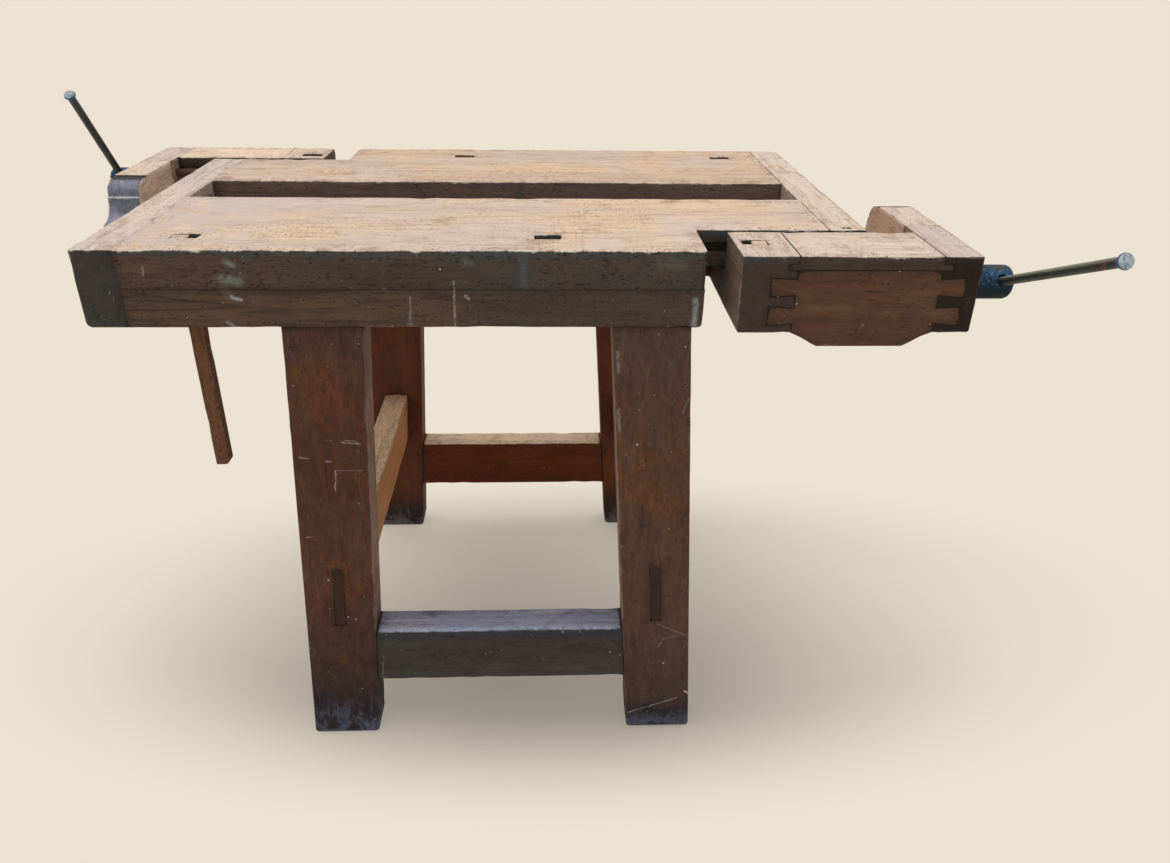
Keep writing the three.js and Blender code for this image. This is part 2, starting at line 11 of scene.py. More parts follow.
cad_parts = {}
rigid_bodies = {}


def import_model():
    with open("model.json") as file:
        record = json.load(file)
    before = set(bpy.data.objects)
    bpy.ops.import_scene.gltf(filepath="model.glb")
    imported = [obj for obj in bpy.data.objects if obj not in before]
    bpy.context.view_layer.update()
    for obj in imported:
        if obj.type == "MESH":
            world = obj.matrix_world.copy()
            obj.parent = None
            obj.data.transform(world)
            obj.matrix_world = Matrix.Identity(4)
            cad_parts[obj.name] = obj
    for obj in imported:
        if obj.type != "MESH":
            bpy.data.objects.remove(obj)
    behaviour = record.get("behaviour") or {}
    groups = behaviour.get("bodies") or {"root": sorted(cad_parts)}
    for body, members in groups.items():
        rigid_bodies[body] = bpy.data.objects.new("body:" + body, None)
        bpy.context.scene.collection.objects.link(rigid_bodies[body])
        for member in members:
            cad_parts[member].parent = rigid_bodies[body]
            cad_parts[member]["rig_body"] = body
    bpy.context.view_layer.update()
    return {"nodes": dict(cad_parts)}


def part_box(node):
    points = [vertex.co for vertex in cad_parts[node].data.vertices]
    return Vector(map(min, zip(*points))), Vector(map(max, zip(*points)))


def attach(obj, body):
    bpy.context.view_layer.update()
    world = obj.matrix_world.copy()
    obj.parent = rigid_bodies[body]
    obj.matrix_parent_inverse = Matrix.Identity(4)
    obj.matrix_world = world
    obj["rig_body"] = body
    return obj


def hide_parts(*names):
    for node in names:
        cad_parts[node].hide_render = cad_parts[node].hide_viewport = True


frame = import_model()
nodes = frame["nodes"]


def tint(red, green, blue):  # a screen colour, 0 to 255, as the shader's linear one
    parts = [c / 255 for c in (red, green, blue)]
    return [c / 12.92 if c < 0.04045 else ((c + 0.055) / 1.055) ** 2.4 for c in parts] + [1]


def shade(colour, share):  # a colour made darker or lighter
    return [share * c for c in colour[:3]] + [1]


class Wire:  # a socket's value, which can be written in sums
    def __init__(self, finish, socket):
        self.finish = finish
        self.socket = socket

    def joined(self, operation, first, second):
        return self.finish.add("ShaderNodeMath", {"operation": operation}, {0: first, 1: second})

    def __add__(self, other):
        return self.joined("ADD", self, other)

    def __radd__(self, other):
        return self.joined("ADD", other, self)

    def __sub__(self, other):
        return self.joined("SUBTRACT", self, other)

    def __rsub__(self, other):
        return self.joined("SUBTRACT", other, self)

    def __mul__(self, other):
        return self.joined("MULTIPLY", self, other)

    def __rmul__(self, other):
        return self.joined("MULTIPLY", other, self)


class Finish:  # one material, or the world, and the nodes in it
    def __init__(self, name, owner=None):
        self.material = owner or bpy.data.materials.new(name)
        self.material.use_nodes = True
        self.tree = self.material.node_tree
        self.tree.nodes.clear()

    def add(self, kind, settings=None, inputs=None, out=0):
        made = self.tree.nodes.new(kind)
        for key, value in (settings or {}).items():
            setattr(made, key, value)
        for key, value in (inputs or {}).items():
            if isinstance(value, Wire):
                self.tree.links.new(value.socket, made.inputs[key])
            else:
                made.inputs[key].default_value = value
        return Wire(self, made.outputs[out]) if made.outputs else None

    def place(self, out="Object"):
        return self.add("ShaderNodeTexCoord", out=out)

    def stored(self, name, out="Fac"):  # a value kept on the mesh's points
        return self.add("ShaderNodeAttribute", {"attribute_name": name}, out=out)

    def part(self, vector, axis):
        return self.add("ShaderNodeSeparateXYZ", None, {0: vector}, out=axis)

    def stretched(self, vector, factors):
        return self.add("ShaderNodeVectorMath", {"operation": "MULTIPLY"}, {0: vector, 1: factors})

    def cloud(self, vector, scale, detail=2.0, rough=0.5, distort=0.0):
        values = {"Vector": vector, "Scale": scale, "Detail": detail,
                  "Roughness": rough, "Distortion": distort}
        return self.add("ShaderNodeTexNoise", None, values)

    def grainCloud(self, point, size, *shape):  # a noise drawn out along the grain
        along, across = size
        return self.cloud(self.stretched(point, (along, across, across)), 1.0, *shape)

    def along(self, vector, direction):  # how far a vector points one way
        values = {0: vector, 1: direction}
        return self.add("ShaderNodeVectorMath", {"operation": "DOT_PRODUCT"}, values, out="Value")

    def strokeGap(self, place, start, end):  # distance from a straight line between two points
        line = Vector(end) - Vector(start)
        first = self.add("ShaderNodeVectorMath", {"operation": "SUBTRACT"}, {0: place, 1: start})
        share = self.along(first, line / line.length_squared)
        share = self.add("ShaderNodeClamp", None, {0: share})
        nearest = self.add("ShaderNodeVectorMath", {"operation": "SCALE"}, {0: line, "Scale": share})
        values = {0: first, 1: nearest}
        return self.add("ShaderNodeVectorMath", {"operation": "DISTANCE"}, values, out="Value")

    def one(self, operation, value, other=0.0):
        return self.add("ShaderNodeMath", {"operation": operation}, {0: value, 1: other})

    def cells(self, vector, scale, out="Distance"):
        settings = {"voronoi_dimensions": "2D"}
        return self.add("ShaderNodeTexVoronoi", settings, {"Vector": vector, "Scale": scale}, out=out)

    def flattened(self, place, normal, steep=0.75):  # the two coordinates that run along a face
        x, y, z = (self.part(place, axis) for axis in "XYZ")
        endwise, level = (self.one("GREATER_THAN", self.one("ABSOLUTE", self.part(normal, axis)), steep)
                          for axis in "XZ")
        across = x + (y - x) * endwise
        upward = z + (y - z) * level
        return self.add("ShaderNodeCombineXYZ", None, {0: across, 1: upward})

    def fade(self, value, low, high):  # 0 at low, 1 at high, smooth between
        settings = {"interpolation_type": "SMOOTHSTEP"}
        return self.add("ShaderNodeMapRange", settings, {"Value": value, "From Min": low, "From Max": high})

    def mix(self, factor, first, second, blend="MIX"):
        settings = {"data_type": "RGBA", "blend_type": blend}
        return self.add("ShaderNodeMix", settings, {0: factor, 6: first, 7: second}, out=2)

    def scaled(self, colour, factor):  # a colour made darker or lighter from place to place
        values = {0: colour, "Scale": factor}
        return self.add("ShaderNodeVectorMath", {"operation": "SCALE"}, values)

    def dots(self, vector, scale, share, radius):  # a round spot in a share of the cells
        middle = self.cells(vector, scale)
        chosen = self.part(self.cells(vector, scale, "Color"), "X")
        spots = self.fade(middle, radius * scale, 0.55 * radius * scale)
        return spots * self.fade(chosen, share, share * 0.8)

    def shaken(self, vector, scale, amount):  # a place moved about a little by a noise
        values = {"Vector": vector, "Scale": scale, "Detail": 3.0}
        shift = self.add("ShaderNodeTexNoise", None, values, out="Color")
        half = (0.5, 0.5, 0.5)
        shift = self.add("ShaderNodeVectorMath", {"operation": "SUBTRACT"}, {0: shift, 1: half})
        values = {0: shift, 1: (amount, amount, amount), 2: vector}
        return self.add("ShaderNodeVectorMath", {"operation": "MULTIPLY_ADD"}, values)

    def close(self, colour, roughness, height, depth, metal=0.0, gloss=0.4, over=None):
        bump = self.add("ShaderNodeBump", None, {"Strength": 1.0, "Distance": depth, "Height": height})
        values = {"Base Color": colour, "Roughness": roughness, "Metallic": metal,
                  "Specular IOR Level": gloss, "Normal": bump}
        shader = self.add("ShaderNodeBsdfPrincipled", None, values)
        if over:  # a share of another shader
            shader = self.add("ShaderNodeMixShader", None, {0: over[0], 1: shader, 2: over[1]})
        self.add("ShaderNodeOutputMaterial", None, {"Surface": shader})
        return self.material


# The camera stands where the photograph was taken from
photo = {"width": 1170, "focalPixels": 891.15, "place": (0.0865, -1.2824, 1.1179),
         "pitch": 28.13, "yaw": 2.70, "roll": 0.94, "sensor": 36.0}


def addCamera():
    pitch, yaw, roll = (math.radians(photo[k]) for k in ("pitch", "yaw", "roll"))
    ahead = Vector((math.sin(yaw) * math.cos(pitch), math.cos(yaw) * math.cos(pitch), -math.sin(pitch)))
    level = Vector((math.cos(yaw), -math.sin(yaw), 0))
    upright = level.cross(ahead)
    right = math.cos(roll) * level + math.sin(roll) * upright
    up = math.cos(roll) * upright - math.sin(roll) * level
    data = bpy.data.cameras.new("photo_camera")
    data.sensor_width = photo["sensor"]
    data.lens = photo["sensor"] * photo["focalPixels"] / photo["width"]
    camera = bpy.data.objects.new("photo_camera", data)
    bpy.context.scene.collection.objects.link(camera)
    turn = Matrix((right, up, -ahead)).transposed()
    camera.matrix_world = Matrix.Translation(photo["place"]) @ turn.to_4x4()
    bpy.context.scene.camera = camera


studio = {"floorColour": (236, 226, 209), "floorSize": 80.0, "sky": 0.72, "sun": 0.95,
          "sunLean": (-18, 14), "sunSpread": 70, "paintedLightShare": 0.30, "depth": 0.80,
          "mottleSize": 3.0, "mottle": 0.06, "mottleShade": 0.8, "roughness": 0.9, "relief": 0.0005,
          "glow": {"middle": (0.168, 0.087), "reach": (1.104, 0.436), "edge": (0.623, 1.194)},
          "paintedShadow": {"middle": (0.045, -0.147), "reach": (0.874, 0.477), "edge": (0.0, 1.128)}}


def seenRays(finish):  # the rays that show the backdrop, rather than light the bench
    camera, mirrored, through = (finish.add("ShaderNodeLightPath", out=f"Is {kind} Ray")
                                 for kind in ("Camera", "Glossy", "Transmission"))
    return camera + mirrored + through


def outside(finish, place, oval):  # 0 inside an oval on the floor, 1 well outside it
    across, deep = ((finish.part(place, axis) - middle) * (1 / reach)
                    for axis, middle, reach in zip("XY", oval["middle"], oval["reach"]))
    return finish.fade(finish.one("SQRT", across * across + deep * deep), *oval["edge"])


def addStudio():
    scene = bpy.context.scene
    scene.view_settings.view_transform = "Standard"
    scene.world = bpy.data.worlds.new("studio")
    sky = Finish("studio", scene.world)
    pale = tint(*studio["floorColour"])
    light = sky.add("ShaderNodeBackground", None, {"Color": (1, 1, 1, 1), "Strength": studio["sky"]})
    backdrop = sky.add("ShaderNodeBackground", None, {"Color": pale})
    chosen = sky.add("ShaderNodeMixShader", None, {0: seenRays(sky), 1: light, 2: backdrop})
    sky.add("ShaderNodeOutputWorld", None, {"Surface": chosen})

    sun = bpy.data.lights.new("soft_sun", "SUN")
    sun.energy = studio["sun"]
    sun.angle = math.radians(studio["sunSpread"])
    lamp = bpy.data.objects.new("soft_sun", sun)
    lean = [math.radians(a) for a in studio["sunLean"]]
    lamp.rotation_euler = (-lean[0], -lean[1], 0)
    scene.collection.objects.link(lamp)

    size = studio["floorSize"]
    floorMesh = bpy.data.meshes.new("floor")
    corners = [(-size, -size, 0), (size, -size, 0), (size, size, 0), (-size, size, 0)]
    floorMesh.from_pydata(corners, [], [(0, 1, 2, 3)])
    floor = bpy.data.objects.new("floor", floorMesh)
    scene.collection.objects.link(floor)
    finish = Finish("studio_floor")
    place = finish.place()
    mottle = finish.cloud(place, studio["mottleSize"], 3.0)
    colour = finish.mix(mottle * studio["mottle"], pale, shade(pale, studio["mottleShade"]))
    seen = seenRays(finish)
    # painted shadow: for the rays that show the backdrop, the floor's colour is darkened in an oval in front
    # of the bench
    dark = (1 - outside(finish, place, studio["paintedShadow"])) * seen * studio["depth"]
    colour = finish.scaled(colour, 1 - dark)
    # the floor glows its own pale colour for those rays: fully far from the bench, as an even backdrop, and
    # by a share close to it, which is painted light over the bench's shadow
    share = seen * (outside(finish, place, studio["glow"]) * (1 - studio["paintedLightShare"]) + studio["paintedLightShare"])
    glow = finish.add("ShaderNodeEmission", None, {"Color": pale})
    floorMesh.materials.append(finish.close(colour, studio["roughness"], mottle, studio["relief"], gloss=0.0,
                                            over=(share, glow)))


addCamera()
addStudio()
print("camera and studio ready")


# Worn boards: each wooden node is copied, its arrises are eased, then it is cut into a grid whose
# points carry what the finishes need: the grain's direction, and how near an arris or a joint is
board = {"ease": 0.0020, "jointEase": 0.0002, "cell": 0.022, "rims": (0.004, 0.010), "sharpFrom": 25,
         "shortEdge": 0.005, "jointGap": 0.0007, "reach": 0.010, "wear": 0.0004, "chip": 0.0034,
         "chipFrom": 0.12, "chipSize": 42.0, "chipNoise": (0.6, 2.0, 3), "gapReach": 0.03, "overshoot": 2e-6,
         "weld": 1e-5, "flatTo": 1, "cutGap": 1e-6, "smoothTo": 38, "roundSegments": 5, "easeSegments": 3,
         "jointSegments": 1, "shift": (0.37, 0.11, 0.23), "legWear": 0.45}
axisOf = {"x": Vector((1, 0, 0)), "y": Vector((0, 1, 0)), "z": Vector((0, 0, 1))}


def weldedCopy(name):
    work = bmesh.new()
    work.from_mesh(nodes[name].data)
    bmesh.ops.remove_doubles(work, verts=work.verts, dist=board["weld"])
    bmesh.ops.dissolve_limit(work, angle_limit=math.radians(board["flatTo"]), verts=work.verts,
                             edges=work.edges)
    return work


def isSharp(edge):
    return edge.is_manifold and edge.calc_face_angle_signed(0) > math.radians(board["sharpFrom"])


def arrises(work):  # the outward edges, apart from the rims of round holes
    return [e for e in work.edges if isSharp(e) and e.calc_length() > board["shortEdge"]]


def midpoint(edge):
    return (edge.verts[0].co + edge.verts[1].co) / 2


def ease(work, edges, offset, segments):
    made = bmesh.ops.bevel(work, geom=edges, offset=offset, offset_type="OFFSET", segments=segments,
                           profile=0.5, affect="EDGES", clamp_overlap=False)
    return made["edges"]


def inside(tree, point):  # a point that has left a board goes back to the board's own face
    nearest, normal = tree.find_nearest(point)[:2]
    return nearest if (point - nearest).dot(normal) > board["overshoot"] else point


def cutGrid(work, low, high, cell):
    for axis in range(3):
        span = high[axis] - low[axis]
        count = max(1, round(span / cell))
        cuts = [low[axis] + span * i / count for i in range(1, count)]
        cuts += [low[axis] + r for r in board["rims"]] + [high[axis] - r for r in board["rims"]]
        for at in sorted(c for c in cuts if low[axis] < c < high[axis]):
            normal = Vector([float(i == axis) for i in range(3)])
            geometry = list(work.verts) + list(work.edges) + list(work.faces)
            bmesh.ops.bisect_plane(work, geom=geometry, plane_co=normal * at, plane_no=normal,
                                   dist=board["cutGap"])


def segmentGaps(points, segments):  # distance from each point to the nearest segment
    best = np.full(len(points), board["gapReach"])
    for start, end in segments:
        along = end - start
        t = np.clip((points - start) @ along / max(along @ along, 1e-12), 0, 1)
        best = np.minimum(best, np.linalg.norm(points - start - t[:, None] * along, axis=1))
    return best


def neighbourTree(name):  # the surfaces of the other pieces close by
    low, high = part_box(name)
    reach = board["gapReach"]
    vertices, faces = [], []
    for other, piece in nodes.items():
        otherLow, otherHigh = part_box(other)
        apart = any(otherLow[i] > high[i] + reach or otherHigh[i] < low[i] - reach for i in range(3))
        if other == name or apart:
            continue
        start = len(vertices)
        vertices += [v.co.copy() for v in piece.data.vertices]
        faces += [[start + i for i in p.vertices] for p in piece.data.polygons]
    return BVHTree.FromPolygons(vertices, faces)


def gapTo(tree, point):
    found = tree.find_nearest(point, board["gapReach"])[3]
    return board["gapReach"] if found is None else found


def store(mesh, name, kind, field, values):
    layer = mesh.attributes.new(name, kind, "POINT")
    layer.data.foreach_set(field, np.asarray(values, np.float32).ravel())


def smoothed(mesh, angle):  # smooth shading, apart from edges sharper than the angle
    mesh.shade_smooth()
    mesh.set_sharp_from_angle(angle=math.radians(angle))


def linked(name, mesh):
    made = bpy.data.objects.new(name, mesh)
    bpy.context.scene.collection.objects.link(made)
    return made


def wornBoard(name, grain, shift, rounds=(), wear=1.0):
    low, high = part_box(name)
    work = weldedCopy(name)
    tree = neighbourTree(name)
    whole = BVHTree.FromBMesh(work)
    segments = [(np.array(e.verts[0].co), np.array(e.verts[1].co)) for e in arrises(work)]
    arcs = []
    for boxLow, boxHigh, radius in rounds:  # a few arrises are far rounder than the rest
        chosen = [e for e in arrises(work) if all(
            boxLow[i] < midpoint(e)[i] < boxHigh[i] for i in range(3))]
        arcs += ease(work, chosen, radius, board["roundSegments"])
    edges = set(arrises(work)) | {e for e in arcs if e.is_valid and isSharp(e)}
    isJoint = {e: gapTo(tree, midpoint(e)) < board["jointGap"] for e in work.edges if e in edges}
    ease(work, [e for e in isJoint if not isJoint[e]], board["ease"], board["easeSegments"])
    joints = [e for e in isJoint if e.is_valid and isJoint[e]]
    ease(work, joints, board["jointEase"], board["jointSegments"])
    cutGrid(work, low, high, board["cell"])
    for v in work.verts:
        v.co = inside(whole, v.co)
    bmesh.ops.remove_doubles(work, verts=work.verts, dist=board["overshoot"])
    work.normal_update()
    points = np.array([v.co for v in work.verts])
    gaps = segmentGaps(points, segments)
    seams = np.array([gapTo(tree, v.co) for v in work.verts])
    for v, gap, seam in zip(work.verts, gaps, seams):  # worn and chipped arrises, always inwards
        near = max(0.0, 1 - gap / board["reach"])
        if near and seam > board["jointGap"]:
            rough = noise.fractal(v.co * board["chipSize"] + shift * 9, *board["chipNoise"])
            chip = max(0.0, rough - board["chipFrom"]) * board["chip"]
            v.co = inside(whole, v.co - v.normal * near * near * wear * (board["wear"] + chip))
    across = [axisOf[a] for a in "xyz" if a != grain]
    mesh = bpy.data.meshes.new("worn_" + name)
    work.to_mesh(mesh)
    work.free()
    basis = np.array([axisOf[grain], *across])
    store(mesh, "boardPoint", "FLOAT_VECTOR", "vector", points @ basis.T + np.array(shift))
    store(mesh, "arrisGap", "FLOAT", "value", gaps)
    store(mesh, "seamGap", "FLOAT", "value", seams)
    store(mesh, "grainWay", "FLOAT_VECTOR", "vector", np.tile(axisOf[grain], (len(points), 1)))
    smoothed(mesh, board["smoothTo"])
    return linked("worn_" + name, mesh)


# Wood. Patterns are given in repeats for each metre, or by two such numbers, along and across the grain
wood = {"zones": 3.6, "patches": 7.0, "blotches": 26.0, "scuffs": 130.0, "bands": (1.1, 20),
        "streaks": (9, 130), "fibres": (40, 900), "mottle": (26, 75), "pores": (150, 430), "specks": 190.0,
        "wormCells": 130.0, "wormRadius": 0.0010, "scratchLines": (12, 300, 0), "scratchPatches": 17.0,
        "scratchAngles": ((25, 0.62), (-70, 0.64)), "markWaves": (110.0, 0.004), "upperWear": (0.785, 0.795),
        "band": (0.787, 0.797), "bandTint": tint(62, 65, 65), "dirtAndShadeTint": tint(36, 27, 23),
        "holeTint": tint(36, 27, 22), "speckTint": tint(188, 186, 180)}


def woodGrain(finish, look):  # the places and patterns that a wood's colours are mixed by
    grain = SimpleNamespace(place=finish.place(), normal=finish.place("Normal"),
                            point=finish.stored("boardPoint", "Vector"),
                            arris=finish.stored("arrisGap"), seam=finish.stored("seamGap"))
    grain.height = finish.part(grain.place, "Z")
    grain.flat = finish.flattened(grain.place, grain.normal)
    grain.bands = finish.grainCloud(grain.point, wood["bands"], 2.0, 0.5, 0.6)
    fromMiddle = finish.one("ABSOLUTE", finish.one("FRACT", grain.bands * look["rings"]) - 0.5)
    grain.lines = finish.fade(fromMiddle, 0.36, 0.5)
    grain.streaks = finish.grainCloud(grain.point, wood["streaks"], 3.0, 0.65, 0.6)
    grain.fibres = finish.grainCloud(grain.point, wood["fibres"], 2.0, 0.7)
    grain.mottle = finish.grainCloud(grain.point, wood["mottle"], 6.0, 0.78, 0.8) - 0.5
    grain.patches = finish.cloud(grain.point, wood["patches"], 4.0, 0.62, 0.4)
    grain.blotches = finish.cloud(grain.point, wood["blotches"], 4.0, 0.7, 0.6)
    grain.scuffs = finish.cloud(grain.point, wood["scuffs"], 3.0, 0.7)
    grain.broad = finish.cloud(grain.point, wood["zones"], 2.0, 0.5, 0.3) + (grain.patches - 0.5) * 0.5
    grain.nearArris = finish.fade(grain.arris, 0.03, 0.0)
    return grain


def sideColour(finish, look, grain):
    base, second, dark, third = look["side"]
    side = finish.mix(finish.fade(grain.broad, 0.42, 0.62), base, third)
    side = finish.mix(finish.fade(grain.bands, 0.4, 0.66) * 0.7, side, second)
    side = finish.mix(grain.lines * look["lines"], side, dark)
    side = finish.mix(finish.fade(grain.streaks, 0.5, 0.74) * look["streaks"], side, dark)
    if "warm" in look:  # patches where the old varnish still shows
        varnish = finish.fade(grain.patches + (grain.streaks - 0.5) * 0.3, 0.48, 0.66)
        side = finish.mix(varnish * 0.75, side, look["warm"])
    if "inwardPaintedLight" in look:  # painted light: the faces that look towards the bench's middle get a lighter colour, which lifts the shade on them
        inwardPaintedLight = finish.fade(finish.part(grain.normal, "X") * finish.part(grain.place, "X"), -0.10, -0.18)
        blotched = finish.mix(finish.fade(grain.blotches, 0.35, 0.65) * 0.4, look["inwardPaintedLight"], base)
        side = finish.mix(inwardPaintedLight, side, blotched)
    for direction, colour in look.get("faces", ()):  # painted light: faces that look one way get a lighter colour, which lifts the shade on them
        toward = finish.fade(finish.along(grain.normal, direction), 0.6, 0.85)
        blotched = finish.mix(finish.fade(grain.blotches, 0.35, 0.65) * 0.5, colour, second)
        side = finish.mix(toward, side, blotched)
    endTint = look["endTint"]
    ends = finish.mix(finish.fade(grain.blotches, 0.4, 0.62), endTint, shade(endTint, 0.72))
    endAlso = look.get("endAlso", shade(endTint, 1.3))
    ends = finish.mix(finish.fade(grain.patches, 0.46, 0.62) * 0.5, ends, endAlso)
    endwise = finish.one("ABSOLUTE", finish.along(grain.normal, finish.stored("grainWay", "Vector")))
    side = finish.mix(finish.fade(endwise, 0.55, 0.85) * look["endDark"], side, ends)
    side = finish.mix(finish.fade(grain.blotches, 0.5, 0.72) * look["smudge"], side, look["smudgeTint"])
    for axis, start, end, ragged, shadeTint, share in look.get("gradients", ()):
        along = finish.part(grain.place, axis) + (grain.blotches - 0.5) * ragged
        side = finish.mix(finish.fade(along, start, end) * share, side, shadeTint)
    return side


def footStains(finish, foot, grain, colour):  # damp stains, and pale scale near the floor
    damp, dampTint, scaleTint = foot
    low = grain.height + (grain.blotches - 0.5) * 0.08 + (grain.patches - 0.5) * 0.06
    colour = finish.mix(finish.fade(low, damp, 0.45 * damp) * 0.85, colour, dampTint)
    wisps = finish.fade(grain.mottle * 1.4 + grain.streaks * 0.5 + grain.blotches, 0.68, 1.0)
    crust = finish.fade(low, 0.8 * damp, 0.2 * damp) * wisps
    solid = finish.fade(grain.height + (grain.scuffs - 0.5) * 0.03, 0.042, 0.016)
    solid = solid * finish.fade(grain.blotches, 0.36, 0.5)
    return finish.mix(finish.one("MAXIMUM", crust, solid * 0.75) * 0.9, colour, scaleTint)


def topColour(finish, look, grain):
    base, second, dark, third = look["top"]
    top = finish.mix(finish.fade(grain.broad, 0.4, 0.62), base, third)
    top = finish.mix(finish.fade(grain.bands, 0.38, 0.66) * 0.7, top, second)
    top = finish.mix(grain.lines * 0.12, top, dark)
    top = finish.mix(finish.fade(grain.streaks, 0.48, 0.74) * 0.65, top, dark)
    top = finish.mix(finish.fade(grain.blotches + grain.nearArris * 0.10, 0.55, 0.75) * 0.6, top, dark)
    top = finish.mix(finish.fade(grain.scuffs, 0.5, 0.72) * 0.5, top, shade(base, 1.2))
    for axis, start, end, ragged, shadeTint, share in look.get("topGradients", ()):
        along = finish.part(grain.place, axis) + (grain.patches - 0.5) * ragged
        reached = finish.fade(along, start, end) * finish.fade(grain.blotches, 0.3, 0.6) * share
        top = finish.mix(reached, top, shadeTint)
    return top


def topShare(finish, look, grain):  # 1 on the faces that have the top's colours
    upper = finish.fade(finish.part(grain.normal, "Z") + (grain.scuffs - 0.5) * 0.6, 0.5, 0.85)
    upper = upper * look["topShare"]
    if look["topFrom"] > 0:  # only the bench's own top is pale
        return upper * finish.fade(grain.height, look["topFrom"] - 0.005, look["topFrom"])
    return upper * finish.fade(grain.seam, 0.001, 0.006)  # the top of a rail, up to its tenons


moulding = {"top": (0.7990, 0.7982), "bottom": (0.7004, 0.7012), "highlightAbove": (0.777, 0.792),
            "highlightBelow": (0.770, 0.730), "quirk": (0.7940, 0.7966), "quirkShadowTint": tint(58, 57, 62),
            "bead": 0.7728, "beadWidth": (0.0015, 0.0006), "beadTint": tint(176, 182, 194),
            "paint": tint(88, 91, 106), "paintHighlight": tint(148, 151, 166), "dullPaint": tint(80, 82, 95)}


def mouldingPaint(finish, coat, grain, colour):  # old paint down the moulded end, with painted highlights near its top and foot, a painted shadow in the quirk and a pale line along the bead
    sideways = finish.fade(finish.one("ABSOLUTE", finish.part(grain.normal, "X")), 0.6, 0.4)
    painted = sideways * finish.fade(grain.height, *coat["top"]) * finish.fade(grain.height, *coat["bottom"])
    painted = painted * finish.fade(grain.blotches + (grain.scuffs - 0.5) * 0.5, 0.25, 0.33)
    # painted highlight: the paint is paler near the top of the moulding and towards its foot
    highlightNearTop = finish.fade(grain.height, *coat["highlightAbove"]) * 0.4
    pale = finish.one("MAXIMUM", highlightNearTop, finish.fade(grain.height, *coat["highlightBelow"]) * 0.9)
    paint = finish.mix(pale + finish.fade(grain.scuffs, 0.36, 0.62) * 0.3, coat["paint"], coat["paintHighlight"])
    paint = finish.mix(finish.fade(grain.blotches, 0.5, 0.7) * 0.7, paint, coat["dullPaint"])
    # painted shadow: a dark line in the quirk under the fillet
    paint = finish.mix(finish.fade(grain.height, *coat["quirk"]), paint, coat["quirkShadowTint"])
    bead = finish.fade(finish.one("ABSOLUTE", grain.height - coat["bead"]), *coat["beadWidth"])
    paint = finish.mix(bead * finish.fade(grain.scuffs, 0.34, 0.5), paint, coat["beadTint"])
    return finish.mix(painted, colour, paint)


def arrisWear(finish, look, grain, lower, colour):  # a dark band under the top's arris, then pale arrises
    band = finish.fade(grain.height + (grain.blotches - 0.5) * 0.022, *wood["band"]) * look["band"] * lower
    colour = finish.mix(band, colour, wood["bandTint"])
    ragged = grain.arris + (grain.scuffs - 0.5) * 0.006 + (grain.blotches - 0.42) * 0.014
    worn = finish.fade(ragged, 0.0030, 0.0006)
    worn = worn * finish.fade(grain.seam, 0.004, 0.010) * look["worn"]
    high = look["wornHigh"]  # how far the wear keeps to the top's own arris
    worn = worn * (finish.fade(grain.height, *wood["upperWear"]) * high + 1 - high)
    return finish.mix(worn, colour, look["wornTint"])


def scratches(finish, flat, angle, share):  # short hair lines, all one way
    turn = {"Vector": flat, "Angle": math.radians(angle)}
    turned = finish.add("ShaderNodeVectorRotate", {"rotation_type": "Z_AXIS"}, turn)
    lines = finish.cloud(finish.stretched(turned, wood["scratchLines"]), 1.0, 0.0)
    patches = finish.fade(finish.cloud(turned, wood["scratchPatches"], 1.0), share, share + 0.05)
    return finish.fade(finish.one("ABSOLUTE", lines - 0.5), 0.012, 0.004) * patches


def placedMarks(finish, marks, grain, colour):  # the larger marks, each in its place
    wavy = finish.shaken(grain.place, *wood["markWaves"])
    broken = finish.fade(grain.scuffs * 0.6 + grain.blotches * 0.4, 0.36, 0.56)
    for start, end, width, markTint, share in marks:
        gap = finish.strokeGap(wavy, start, end) + (grain.blotches + grain.scuffs - 1) * width
        colour = finish.mix(finish.fade(gap, 1.25 * width, 0.1 * width) * broken * share, colour, markTint)
    return colour


